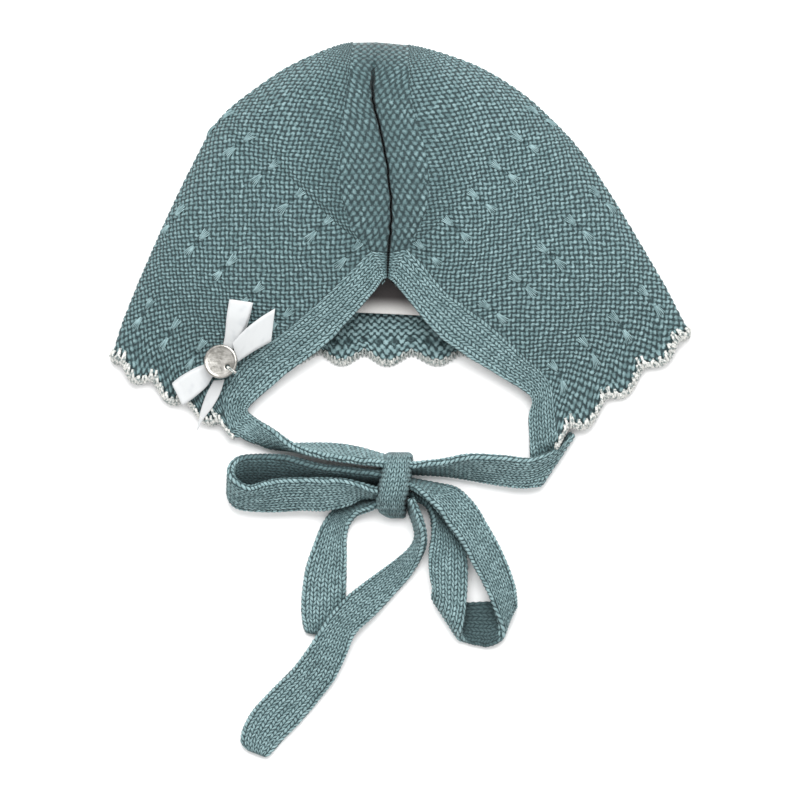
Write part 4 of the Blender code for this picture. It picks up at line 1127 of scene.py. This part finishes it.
def strap_ring():
    """A strap's section, round from the front face: its place across and through, columns and edges."""
    front = np.linspace(0, STRAP_COLUMNS, STRAP_COLUMNS * STRAP_SAMPLES + 1)
    turn = np.linspace(0, np.pi, EDGE_SAMPLES + 1)[1:]
    turn[-1] *= EDGE_END
    one = np.ones(len(turn))
    side = front / STRAP_COLUMNS * 2 - 1
    across = np.concatenate((side, one, -side, -one))
    bend = np.concatenate((front * 0, turn, front * 0 + np.pi, turn + np.pi))
    half = np.concatenate((front, STRAP_COLUMNS + turn / np.pi))
    place = np.concatenate((half, half + STRAP_COLUMNS + 1))
    edge = np.tile(np.concatenate((front * 0, np.sin(turn))), 2)
    return across, bend, place, edge


def strap(node, look, table, seed, before, after):
    """A knitted strap: columns of smooth knitting on both faces, and one more column round each edge."""
    first, second, length, row = strap_frames(table, before, after)
    middle = (first + second) / 2
    width = np.linalg.norm(second - first, axis=1)[:, None]
    across = unit(second - first)
    face = unit(np.cross(directions(middle), across))
    share, bend, place, edge = strap_ring()
    shape = (len(length), len(share))
    round_place = np.minimum(place, 2 * (STRAP_COLUMNS + 1) - place)
    u, v = uneven(*np.broadcast_arrays(round_place, length[:, None] / STRAP_ROW), seed, STRAP_UNEVEN)
    u = place + u - round_place
    relief = leg_relief(u, v) + edge * CHAIN_RISE
    half = TIE_THICK / 2
    ends = length[-1] - length if after == 0 else np.full(len(length), np.inf)
    if before > SUNK_START:
        ends = np.minimum(ends, length)
    taper = quarter(ends / (STRAP_END_ROUNDING * half))[:, None]
    wide, high = (least + (1 - least) * taper for least in (STRAP_END_HALF_WIDTH, STRAP_END_HALF_HEIGHT))
    reach = (width / 2 - half) * share + np.sin(bend) * (half + relief) * wide
    lift = np.cos(bend) * (half * high + relief * taper)
    points = middle[:, None] + across[:, None] * reach[..., None] + face[:, None] * lift[..., None]
    light = np.repeat((FRONT_LIGHT + (1 - FRONT_LIGHT) * edge)[None, :], len(length), axis=0)
    if node in LOOP_SHADE:
        begin, stop, least = LOOP_SHADE[node]
        deep = np.clip(np.minimum(row - begin, stop - row) / LOOP_SHADE_FADE, 0, 1)
        light = light * (1 - (1 - least) * deep)[:, None]
    places = np.stack((u, v, light), axis=-1).reshape(-1, 3)
    made = new_piece("knit_" + node, points.reshape(-1, 3), tube_faces(*shape), look, [node],
                     places, shape)
    return made, float(width.mean()) * MM, float(length[-1]) * MM


def opening_point(side, ridge):
    """A point of the band's inner edge round the opening."""
    table = OPENINGS[side]
    middle = [float(curve_through(ridge, table["ridge"], table[axis])) for axis in "xyz"]
    return np.array(middle) + np.array((0, 0, BAND_THICK / 2))


def band_side(side):
    """The band's two edges on one side, from its far end over the tie up to the nape."""
    edges = []
    for path, edge_point in zip(BAND_ENDS[side], (row_start, opening_point)):
        places = np.linspace(0, len(path), BAND_END_ROWS + 1)[1:]
        end = curves_through(places, [edge_point(side, 0.0), *path])
        ridges = np.linspace(0.0, NAPE, BAND_ROWS + 1)[:-1]
        edges.append(list(end[::-1]) + [edge_point(side, ridge) for ridge in ridges])
    return edges


def band_lines():
    """The band's edges on the shell and round the opening, from the right corner over the nape."""
    right, left = (opening_point(side, NAPE - 1) for side in ROWS)
    tip = (right + left) / 2 + np.array((0, OPENING_TIP_RISE, 0))
    crease = crease_row(NAPE, BAND_TIP_COLUMNS // 2)[0]
    half = len(crease) // 2
    nape = []
    for i, point in enumerate(crease):
        end, corner = (right, crease[0]) if i <= half else (left, crease[-1])
        share = np.linalg.norm((point - crease[half])[:2]) / np.linalg.norm((corner - crease[half])[:2])
        place = tip + (end - tip) * min(share, 1.0)
        place[2] -= (corner[2] - point[2]) * OPENING_CREASE_SHARE
        nape.append(place)
    lines = zip(band_side("right"), (list(crease), nape), band_side("left"))
    return [np.array(one + top + other[::-1]) for one, top, other in lines]


def neck_band(look):
    """The smooth band round the opening, with a chain along its inner edge."""
    outer, inner = band_lines()
    columns = BAND_COLUMNS * BAND_SAMPLES
    shares = np.linspace(0, 1, columns + 1)
    base = outer[:, None, :] * (1 - shares[None, :, None]) + inner[:, None, :] * shares[None, :, None]
    ways = grid_normals(base, True)
    length = run_length(base[:, columns // 2])
    u, v = np.broadcast_arrays(shares * BAND_COLUMNS, length[:, None] / STRAP_ROW)
    u, v = uneven(u, v, SEED + 40, STRAP_UNEVEN)
    chain = np.clip(CHAIN_START - (1 - shares) * BAND_COLUMNS, 0, CHAIN_FADE) / CHAIN_FADE
    calm = STEEP_RELIEF + (1 - STEEP_RELIEF) * np.abs(ways[..., 2])
    fade = edge_fade(base.shape[:2], [FIRST_COLUMN], 2)
    relief = (leg_relief(u, v) + chain * CHAIN_RISE) * calm * fade
    down = unit(ways * 0.5 + np.array((0, 0, 0.5)))
    places = np.stack(np.broadcast_arrays(u, v, BAND_LIGHT + (1 - BAND_LIGHT) * chain), axis=-1)
    made = wall_piece("knit_neck_band", look, "neck_band", base + ways * relief[..., None],
                      base - down * BAND_THICK, BAND_STEP, True, places)
    return made, cut_size(base)


def bow_knot(look):
    """The knot: a short wrap of the tie, arched over the layers it holds."""
    values = sections(KNOT, STRAP_SECTIONS)
    length = run_length(values[:, :1])
    wanted = np.linspace(0, length[-1], int(length[-1] / STRAP_ROW * STRAP_ROW_SAMPLES) + 1)
    turns = np.linspace(0, np.pi, KNOT_TURNS)
    shares = np.linspace(0, 1, KNOT_COLUMNS_ROUND * STRAP_SAMPLES + 1)
    rings = []
    for (y, x, half_width, height), away in zip(between(wanted, length, values),
                                                np.minimum(wanted, wanted[-1] - wanted)):
        rounding = quarter(away / KNOT_ROUNDING)
        half_width, height = (size * (end + (1 - end) * rounding)
                              for size, end in zip((half_width, height), KNOT_END))
        sides = x + half_width * np.sign(np.cos(turns)) * np.abs(np.cos(turns)) ** KNOT_SQUARENESS[0]
        rise = KNOT_FOOT + (height - KNOT_FOOT) * np.sin(turns) ** KNOT_SQUARENESS[1]
        rings.append(along(np.column_stack((sides, np.full(len(turns), y), rise)), shares))
    base = np.array(rings)
    rows, cols = base.shape[:2]
    u, v = np.broadcast_arrays(shares * KNOT_COLUMNS_ROUND, wanted[:, None] / STRAP_ROW)
    u, v = uneven(u, v, SEED + 50, STRAP_UNEVEN)
    relief = leg_relief(u, v) * edge_fade((rows, cols), [FIRST_ROW, LAST_ROW], 3)
    points = base + grid_normals(base) * relief[..., None]
    index = np.arange(rows * cols).reshape(rows, cols)
    under = np.concatenate((index[:, 0], index[::-1, -1]))
    faces = quads(rows, cols) + [line.tolist() for line in (index[0, ::-1], index[-1], under)]
    places = np.stack((u, v, np.full(u.shape, FRONT_LIGHT)), axis=-1)
    return new_piece("knit_bow_knot", points.reshape(-1, 3), faces, look, ["bow_knot"],
                     places.reshape(-1, 3), (rows, cols))


class Strands:
    """Round cords gathered into one piece, with a place and a share of light at each point."""

    def __init__(self, scale=0.0):
        self.scale = scale
        self.points, self.faces, self.places = [], [], []
        self.count = 0

    def add(self, line, radii, sides, light):
        """A cord along a line, its ends closed."""
        turns = np.arange(sides)[:, None] * 2 * np.pi / sides
        side = np.array((0.0, 0.0, 1.0))
        rings = []
        for point, way, radius in zip(line, directions(line), np.broadcast_to(radii, len(line))):
            side = side - way * side.dot(way)
            size = np.linalg.norm(side)
            side = side / size if size > 1e-6 else np.array((1.0, 0.0, 0.0))
            rings.append(point + radius * (np.cos(turns) * side + np.sin(turns) * np.cross(side, way)))
        points = np.concatenate(rings)
        lights = np.repeat(np.broadcast_to(light, len(line)), sides)
        self.faces += tube_faces(len(line), sides, self.count)
        self.points.append(points)
        self.places.append(np.column_stack((points[:, :2] * self.scale, lights)))
        self.count += len(points)

    def piece(self, name, look, slot_name, node):
        points, places = np.concatenate(self.points), np.concatenate(self.places)
        return new_piece(name, points, self.faces, look, [node], places)


def face_line():
    """The shell's edge at the face: its places in stitches, its points, and the ways inward and out."""
    stitches = np.linspace(0, 2 * MIDDLE_STITCH, FACE_POINTS)
    ridge = np.full(len(stitches), TRIM_RIDGES)
    edge = lower_points(ridge, stitches)
    inward = unit(lower_points(ridge + TRIM_INSIDE, stitches) - edge)
    return stitches, edge, inward, unit(np.cross(directions(edge), inward))


def to_notch(stitch):
    """Stitches to the nearest notch between two scallops."""
    half = SCALLOP_STITCHES / 2
    return abs((stitch - SCALLOP_START + half) % SCALLOP_STITCHES - half)


def brow_share(stitch):
    """0 along the sides, rising to 1 at the brow."""
    return np.clip((stitch - SPLIT_STITCH) / BROW_FADE, 0, 1)


def face_trim(look):
    """The pale edging: two twisted strands along the scallops and short stitches over the knitted edge."""
    stitches, edge, inward, ways = face_line()
    middle = edge - ways * WALL / 2 - inward * (TRIM_RADIUS + 0.1)
    length = run_length(middle)
    wanted = np.linspace(0, length[-1], int(length[-1] / TRIM_STEP) + 1)
    line, inner, up = (between(wanted, length, each) for each in (middle, inward, ways))
    near = from_neck(np.interp(wanted, length, stitches))
    calm = brow_share(near)
    notch = np.clip(1 - to_notch(near) / TRIM_NOTCH, 0, 1)
    thin = (1 - calm * (0.15 + 0.45 * notch))[:, None]
    line = line + inner * TRIM_PLY * (1 - thin)
    trim = Strands()
    for start in (0.0, 0.5):
        turn = 2 * np.pi * (wanted / TRIM_TWIST + start)[:, None]
        strand = line + (inner * np.cos(turn) + up * np.sin(turn)) * TRIM_PLY * thin
        strand[:, 2] = np.maximum(strand[:, 2], TRIM_PLY + FLOOR_GAP)
        trim.add(strand, (TRIM_PLY + 0.08) * thin[:, 0], 7, 1 - calm * (0.2 + 0.5 * notch))
    random = np.random.default_rng(SEED)
    ahead = directions(edge)
    for place in np.arange(TRIM_PITCH / 2, 2 * MIDDLE_STITCH, TRIM_PITCH):
        near = from_neck(place)
        turn = to_notch(near)
        calm = brow_share(near)
        reach = TRIM_REACH * (1 - 0.65 * calm) + TRIM_NOTCH_REACH * max(0.0, 1 - turn) * (1 - calm)
        reach += random.uniform(-TRIM_SPREAD, TRIM_SPREAD) * (1 - 0.5 * calm)
        i = int(np.searchsorted(stitches, place))
        lean = TRIM_LEAN * (1 if place % 1 < 0.5 else -1) + random.uniform(-TRIM_SPREAD, TRIM_SPREAD)
        here, inside, out, lean = edge[i], inward[i], ways[i], ahead[i] * lean
        path = (
            here + inside * reach + lean + out * 0.3,
            here - inside * 0.3 + lean * 0.3 + out * 0.8,
            here - inside * (2 * TRIM_RADIUS + 0.2) - out * WALL / 2,
            here - inside * 0.3 - lean * 0.3 - out * (WALL + 0.8),
            here + inside * reach * 0.8 - lean - out * (WALL + 0.3),
        )
        bend = curves_through(np.linspace(0, len(path) - 1, 17), path)
        bend[:, 2] = np.maximum(bend[:, 2], TRIM_STRAND + FLOOR_GAP)
        dim = random.uniform(0.75, 1.0) * (1 - calm * (0.25 + 0.4 * max(0.0, 1 - turn / TRIM_NOTCH)))
        trim.add(bend, TRIM_STRAND * (1 - 0.35 * calm), 6, dim)
    return trim.piece("pearl_face_trim", look, "pale_yarn", "face_trim")


def surface_at(side, stitch, ridge):
    """Points of the shell's outer face and the directions out of it."""
    steps = (0, 0), (0, 0.4), (0.4, 0)
    spot, over, up = (shell_points(side, ridge + rise, stitch + run) for rise, run in steps)
    way = unit(np.cross(over - spot, up - spot))
    return spot, np.where(way[:, 2:] > 0, way, -way)


def floats(look):
    """The small motifs: pairs of loose strands that lie over the knitting along its columns."""
    random = np.random.default_rng(SEED + 5)
    motifs = [(side, ridge, stitch) for side in ROWS for ridge, stitches in FLOAT_ROWS for stitch in stitches]
    loose = Strands(1 / GARTER_STITCH)
    t = np.linspace(-1, 1, FLOAT_POINTS)
    for side, ridge, stitch in motifs:
        for way in (-1, 1):
            middle = ridge + way * FLOAT_OFFSET + random.uniform(-0.15, 0.15)
            fan = FLOAT_FAN[0] + FLOAT_FAN[1] * t * way
            for i in range(FLOAT_STRANDS):
                place = i - (FLOAT_STRANDS - 1) / 2
                shade = random.uniform(*FLOAT_LIGHT)
                half = FLOAT_HALF * random.uniform(0.75, 1.1)
                spot, out = surface_at(side, stitch + place * fan, middle + t * half)
                lift = FLOAT_RISE * (1 - t * t) ** 0.6 - 0.12 * abs(place) - 0.1
                loose.add(spot + out * lift[:, None], FLOAT_RADIUS, 5, shade)
    return loose.piece("knit_floats", look, "sage_yarn", "hat_body")


def surface_height(surface, x, y):
    """Height of the knitting under a place, or of its nearest edge."""
    hit = surface.ray_cast(Vector((x * MM, y * MM, 0.1)), Vector((0, 0, -1)))[0]
    if hit is None:
        hit = surface.find_nearest(Vector((x * MM, y * MM, 0.005)))[0]
    return hit.z / MM


def smoothed(values, width):
    """A line of numbers averaged over its neighbours."""
    kernel = np.hanning(2 * width + 1)
    padded = np.pad(values, width, mode="edge")
    return np.convolve(padded, kernel / kernel.sum(), mode="valid")


def ribbon(node, look, table, surface):
    """One loop or end of the satin bow, a thin strip laid over the knitting."""
    values = sections(table, RIBBON_SECTIONS)
    edges = []
    for x, y in (values[:, :2].T, values[:, 2:4].T):
        heights = np.array([surface_height(surface, *spot) for spot in zip(x, y)]) + values[:, 4]
        edges.append(np.column_stack((x, y, smoothed(heights, RIBBON_SMOOTHING))))
    first, second = edges
    middle = (first + second) / 2
    across = second - first
    width = np.linalg.norm(across, axis=1)[:, None]
    face = unit(np.cross(directions(middle), across / width))
    shares = np.linspace(0, 1, RIBBON_POINTS)
    shares = np.concatenate((shares, shares[::-1]))
    side = np.repeat((0.5, -0.5), RIBBON_POINTS) * RIBBON_THICK
    least, steepness = RIBBON_EDGE
    side = side * (least + (1 - least) * np.clip(np.minimum(shares, 1 - shares) * steepness, 0, 1))
    points = first[:, None] + across[:, None] * shares[:, None] + face[:, None] * side[:, None]
    length = run_length(middle)
    places = np.stack(np.broadcast_arrays(shares * width, length[:, None], 1.0), axis=-1)
    made = new_piece("satin_" + node, points.reshape(-1, 3), tube_faces(len(first), len(shares)), look,
                     [node], places.reshape(-1, 3))
    return made, float(width.mean()) * MM, float(length[-1]) * MM


def on_button(surface, points):
    """Points of the button's own frame, tilted and lifted onto the knitting."""
    height = surface_height(surface, BUTTON_X, BUTTON_Y) + BUTTON_LIFT
    turn = np.array(Euler((*BUTTON_TILT, 0)).to_matrix())
    return points @ turn.T + np.array((BUTTON_X, BUTTON_Y, height))


def button(look, surface):
    """A round metal button: a shallow dished face, a raised rim and one sewing hole through it."""
    turns = np.arange(BUTTON_SIDES) * 2 * np.pi / BUTTON_SIDES
    circle = np.stack((np.cos(turns), np.sin(turns)), axis=1)
    hole = np.array((math.cos(HOLE_ANGLE), math.sin(HOLE_ANGLE))) * HOLE_OFFSET
    shares = (1 - (1 - np.linspace(0, 1, BUTTON_RINGS)) ** BUTTON_CROWDING)[:, None, None]
    plan = (hole + circle * HOLE_RADIUS) * (1 - shares) + circle * BUTTON_RADIUS * shares
    away = np.linalg.norm(plan, axis=2)
    rounding = (1 - quarter((BUTTON_RADIUS - away) / BUTTON_ROUNDING)) * BUTTON_ROUNDING
    rim = np.exp(-(((away - RIM_RADIUS) / RIM_WIDTH) ** 2)) * RIM_RISE
    from_hole = np.linalg.norm(plan - hole, axis=2) - HOLE_RADIUS
    sunk = np.clip(1 - from_hole / HOLE_SINK_WIDTH, 0, 1) ** 2 * HOLE_SINK
    dish = DISH * (1 - np.clip(away / RIM_RADIUS, 0, 1) ** 2)
    top = np.dstack((plan, BUTTON_THICK / 2 + rim - rounding - sunk - dish))
    low = np.dstack((plan, rounding - BUTTON_THICK / 2))
    points = np.concatenate((top, low[::-1])).reshape(-1, 3)
    faces = quads(2 * BUTTON_RINGS, BUTTON_SIDES, closed=True, ring=True)
    return new_piece("metal_button", on_button(surface, points), faces, look, ["button"])


def button_thread(look, surface):
    """Two turns of thread that come up through the hole and over the rim."""
    thread = Strands()
    cos, sin = math.cos(HOLE_ANGLE), math.sin(HOLE_ANGLE)
    away, height = curves_through(np.linspace(0, len(THREAD_PATH) - 1, THREAD_POINTS), THREAD_PATH).T
    for lean in (-THREAD_LEAN, THREAD_LEAN):
        side = lean * np.clip(away - HOLE_OFFSET + THREAD_SPREAD[0], *THREAD_SPREAD)
        line = np.column_stack((away * cos - side * sin, away * sin + side * cos, height))
        thread.add(on_button(surface, line), THREAD_RADIUS, 8, 1.0)
    return thread.piece("button_stitch", look, "pale_yarn", "button_thread")


def neck_label(look):
    """The blank label inside the nape, gently bowed."""
    values = sections(LABEL, RIBBON_SECTIONS)
    shares = np.linspace(0, 1, LABEL_POINTS)
    x = LABEL_MIDDLE_X + (shares - 0.5) * LABEL_WIDTH
    y = values[:, :1] + LABEL_TILT * (0.5 - shares)
    z = values[:, 1:] + LABEL_BOW * np.sin(np.pi * shares)
    middle = np.stack(np.broadcast_arrays(x, y, z), axis=-1)
    half = np.array((0, 0, LABEL_THICK / 2))
    places = np.stack(np.broadcast_arrays(shares * LABEL_WIDTH, values[:, :1], 1.0), axis=-1)
    return wall_piece("cotton_neck_label", look, "neck_label", middle + half,
                      middle - half, 1, False, places, False)


def set_inputs(node, **values):
    """Sets a node's inputs, named with _ for a blank."""
    for name, value in values.items():
        node.inputs[name.replace("_", " ")].default_value = value


def new_node(tree, kind, **values):
    made = tree.nodes.new(kind)
    set_inputs(made, **values)
    return made


def principled(name, colour, roughness, **values):
    """A material with its shader's inputs set, and the material's nodes."""
    made = bpy.data.materials.new(name)
    made.use_nodes = True
    tree = made.node_tree
    set_inputs(tree.nodes["Principled BSDF"], Base_Color=(*colour, 1), Roughness=roughness, **values)
    return made, tree


def colours(tree, steps, factor):
    """Blends evenly through some colours by a term from 0 to 1 and feeds the result to the shader."""
    before = None
    for i, colour in enumerate(steps[1:]):
        mix = tree.nodes.new("ShaderNodeMix")
        mix.data_type = "RGBA"
        mix.inputs["A"].default_value = (*steps[0], 1)
        mix.inputs["B"].default_value = (*colour, 1)
        if before:
            tree.links.new(before, mix.inputs["A"])
        share = factor * float(len(steps) - 1) - float(i)
        tree.links.new(share.socket, mix.inputs["Factor"])
        before = mix.outputs["Result"]
    tree.links.new(before, tree.nodes["Principled BSDF"].inputs["Base Color"])


def bumped(tree, rise, strength):
    """Gives the shader fine relief from a term in millimetres."""
    made = new_node(tree, "ShaderNodeBump", Strength=strength, Distance=MM)
    tree.links.new(rise.socket, made.inputs["Height"])
    tree.links.new(made.outputs["Normal"], tree.nodes["Principled BSDF"].inputs["Normal"])


def stitch_places(tree):
    """The place in stitches and rows, its two counts and the share of light that reaches it."""
    place = tree.nodes.new("ShaderNodeAttribute")
    place.attribute_name = "stitch"
    split = tree.nodes.new("ShaderNodeSeparateXYZ")
    tree.links.new(place.outputs["Vector"], split.inputs[0])
    return place.outputs["Vector"], [Term(tree, socket) for socket in split.outputs]


def object_place(tree):
    return tree.nodes.new("ShaderNodeTexCoord").outputs["Object"]


def noise(tree, vector, scale, detail=2.0):
    made = new_node(tree, "ShaderNodeTexNoise", Scale=scale, Detail=detail)
    tree.links.new(vector, made.inputs["Vector"])
    return Term(tree, made.outputs[0])


def stepped(tree, value, low, high):
    made = new_node(tree, "ShaderNodeMapRange", From_Min=low, From_Max=high)
    made.interpolation_type = "SMOOTHSTEP"
    tree.links.new(value.socket, made.inputs["Value"])
    return Term(tree, made.outputs[0])


def knit_material(name, pattern, low, high, depth, tone_and_painted_light, warp=0.1):
    """Dyed yarn, with painted shade between the loops and a painted highlight on their tops, and the loops'
    shape in fine relief too.
    """
    made, tree = principled(name, YARN_COLOUR, 0.75, Sheen_Weight=0.06, Sheen_Roughness=0.5)
    vector, (u, v, open_share) = stitch_places(tree)
    along_u, along_v = noise(tree, vector, 2.3), noise(tree, vector, 1.7, 3.0)
    height = pattern(u + (along_u - 0.5) * (2 * warp), v + (along_v - 0.5) * (2 * warp))
    fibre = noise(tree, object_place(tree), 1500, 3.0)
    spread = stepped(tree, height + (fibre - 0.5) * FIBRE, low, high)
    cloud = noise(tree, vector, 0.9, 3.0)
    # open_share is the share of painted light that the places carry: painted shade in folds, hollows, loops
    # and holes
    tone = spread * (cloud * (1.1 * tone_and_painted_light) + 0.25 * tone_and_painted_light) * open_share
    colours(tree, (YARN_SHADE, YARN_COLOUR, YARN_HIGHLIGHT), tone)
    bumped(tree, height * depth + fibre * 0.25, 0.8)
    return made


def pearl_material():
    """Pale yarn with a grey-green fleck between its strands."""
    made, tree = principled("pearl_yarn", PEARL, 0.6)
    where = object_place(tree)
    open_share = stitch_places(tree)[1][2]
    colours(tree, (PEARL_DEEP, PEARL), stepped(tree, noise(tree, where, 900, 3.0), 0.36, 0.56) * open_share)
    bumped(tree, noise(tree, where, 2200, 2.0) * 0.5, 0.7)
    return made


def satin_material():
    """White satin: a close weave with a soft sheen along the ribbon."""
    made, tree = principled("white_satin", SATIN_WHITE, 0.38, Sheen_Weight=0.15, Specular_IOR_Level=0.6)
    vector, (u, v, _) = stitch_places(tree)
    weave = np.sin(u * (2 * math.pi / 0.32)) * 0.5 + np.sin(v * (2 * math.pi / 0.24)) * 0.5
    cloud = noise(tree, vector, 0.25, 1.0)
    colours(tree, (SATIN_SHADE, SATIN_WHITE), stepped(tree, cloud + weave * 0.05, 0.1, 0.5))
    bumped(tree, weave * 0.03, 0.6)
    return made


def metal_material():
    """Worn, brushed nickel."""
    made, tree = principled("brushed_nickel", NICKEL, 0.34, Metallic=1.0)
    where = object_place(tree)
    squash = new_node(tree, "ShaderNodeMapping", Rotation=(0, 0, math.radians(40)), Scale=(1, 14, 1))
    tree.links.new(where, squash.inputs["Vector"])
    brushed = noise(tree, squash.outputs[0], 420, 3.0)
    worn = noise(tree, where, 330, 4.0)
    colours(tree, (NICKEL_DEEP, NICKEL), stepped(tree, worn * 0.7 + brushed * 0.3, 0.32, 0.6))
    bumped(tree, brushed * 0.05 + worn * 0.22, 0.7)
    return made


def label_material():
    """White woven cotton, darker where the nape hides it from the light."""
    made, tree = principled("label_cotton", LABEL_WHITE, 0.8)
    u, v = stitch_places(tree)[1][:2]
    weave = np.sin(u * (2 * math.pi / 0.4)) * np.sin(v * (2 * math.pi / 0.4))
    colours(tree, (LABEL_WHITE, LABEL_DARK), stepped(tree, v + weave * 0.1, *LABEL_SHADE))
    bumped(tree, weave * 0.04, 0.6)
    return made


def sky_rays():
    """Directions spread evenly round the way out of a surface, more of them near it."""
    turns = np.arange(SKY_RAYS) * math.pi * (3 - math.sqrt(5))
    out = np.sqrt((np.arange(SKY_RAYS) + 0.5) / SKY_RAYS)
    return np.column_stack((out * np.cos(turns), out * np.sin(turns), np.sqrt(1 - out**2)))


def open_sky(solid, spot, way, rays):
    """Share of the rays from a spot that meet no other knitting."""
    side = unit(np.cross(way, (1.0, 0.0, 0.0) if abs(way[0]) < 0.8 else (0.0, 1.0, 0.0)))
    start = Vector(spot + way * SKY_START * MM)
    turned = rays @ np.array((side, np.cross(way, side), way))
    free = [solid.ray_cast(start, Vector(ray), SKY_REACH * MM)[0] is None for ray in turned]
    return sum(free) / len(rays)


def vectors(items, name):
    """The vectors of a mesh's items."""
    values = np.empty(len(items) * 3, np.float32)
    items.foreach_get(name, values)
    return values.reshape(-1, 3)


def shade_folds():
    """Lowers each grid piece's share of light where its neighbours stand close over it."""
    every = bmesh.new()
    for piece, _ in GRIDS:
        every.from_mesh(piece.data)
    solid = BVHTree.FromBMesh(every)
    every.free()
    rays = sky_rays()
    for piece, (rows, cols) in GRIDS:
        mesh = piece.data
        front = slice(0, rows * cols)
        points, ways = (vectors(*each)[front].reshape(rows, cols, 3)
                        for each in ((mesh.vertices, "co"), (mesh.vertex_normals, "vector")))
        at_row, at_col = (np.unique(np.linspace(0, size - 1, min(most, size)).astype(int))
                          for size, most in ((rows, SKY_ROWS), (cols, SKY_COLUMNS)))
        seen = np.empty((len(at_row), len(at_col)))
        for i, row in enumerate(at_row):
            for j, col in enumerate(at_col):
                near = ways[max(row - 2, 0) : row + 3, max(col - 2, 0) : col + 3].reshape(-1, 3).mean(axis=0)
                seen[i, j] = open_sky(solid, points[row, col], unit(near), rays)
        across = np.array([np.interp(np.arange(cols), at_col, line) for line in seen])
        full = np.array([np.interp(np.arange(rows), at_row, line) for line in across.T]).T
        layer = mesh.attributes["stitch"].data
        places = vectors(layer, "vector")
        places[front, 2] *= SKY_LEAST + (1 - SKY_LEAST) * full.ravel()
        layer.foreach_set("vector", places.ravel())


# The left side's knit gets a lower gain than the right side's: painted shade on the side turned from the
# light
garter_right = knit_material("sage_garter_knit_right", garter_height(SLANT_RIGHT), 0.06, 1.02, 0.35, 0.94)
garter_left = knit_material("sage_garter_knit_left", garter_height(SLANT_LEFT), 0.06, 1.02, 0.35, 0.86)
stretched = knit_material("sage_stretched_knit", panel_height, 0.02, 1.1, 0.3, 0.53, 0.14)
garter_brow = knit_material("sage_garter_knit_brow", garter_height(SLANT_LEFT), -0.04, 0.95, 0.35, 1.05, 0.17)
stocking = knit_material("sage_smooth_knit", stocking_height, 0.18, 0.98, 0.3, 1.2, 0.05)
yarn_strand = knit_material("sage_loose_yarn", lambda u, v: u * 0.0 + 1.1, 0.1, 1.0, 0.0, 1.05)
pearl = pearl_material()
satin = satin_material()
metal = metal_material()
label_cotton = label_material()

side_right, right_cut = side_piece("right", garter_right)
side_left, left_cut = side_piece("left", garter_left)
brow_ridges = np.linspace(TRIM_RIDGES, BROW_RIDGES, BROW_STEPS + 1)
brow, brow_cut = lower_piece("knit_brow_layer", garter_brow, brow_ridges, BROW_SAMPLES, True, BROW_LIGHT)
under_ridges = ridge_places(BROW_RIDGES, UNDER_SAMPLES)
under, under_cut = lower_piece("knit_under_layer", garter_right, under_ridges, UNDER_SAMPLES, False)
panel, panel_cut = back_panel(stretched)
band, band_cut = neck_band(stocking)
for seed, (node, table, before, after) in enumerate(STRAPS, 60):
    strap(node, stocking, table, seed, before, after)
knot = bow_knot(stocking)
trim = face_trim(pearl)
strands = floats(yarn_strand)

bpy.context.view_layer.update()
surface = BVHTree.FromObject(side_left, bpy.context.evaluated_depsgraph_get())
ribbons = [ribbon(node, satin, table, surface) for node, table in RIBBONS]
button(metal, surface)
button_thread(pearl, surface)
tag = neck_label(label_cotton)
shade_folds()

corners = [(x * FLOOR_REACH, y * FLOOR_REACH, 0) for x, y in ((-1, -1), (1, -1), (1, 1), (-1, 1))]
floor_mesh = bpy.data.meshes.new("floor")
floor_mesh.from_pydata(corners, [], [(0, 1, 2, 3)])
floor_mesh.materials.append(principled("floor_white", FLOOR_WHITE, 0.6)[0])
placed("floor", floor_mesh)

scene = bpy.context.scene
camera_data = bpy.data.cameras.new("camera")
camera_data.type = "ORTHO"
camera_data.ortho_scale = CAMERA_WIDTH
scene.camera = placed("camera", camera_data, CAMERA_PLACE)
scene.view_settings.view_transform = "Standard"

key_data = bpy.data.lights.new("key", "AREA")
key_data.size = KEY_SIZE
key_data.energy = KEY_POWER
key = placed("key", key_data, KEY_PLACE)
key.rotation_euler = (-key.location).to_track_quat("-Z", "Y").to_euler()
world = bpy.data.worlds.new("world")
scene.world = world
world.use_nodes = True
set_inputs(world.node_tree.nodes["Background"], Color=(1, 1, 1, 1), Strength=1.0)
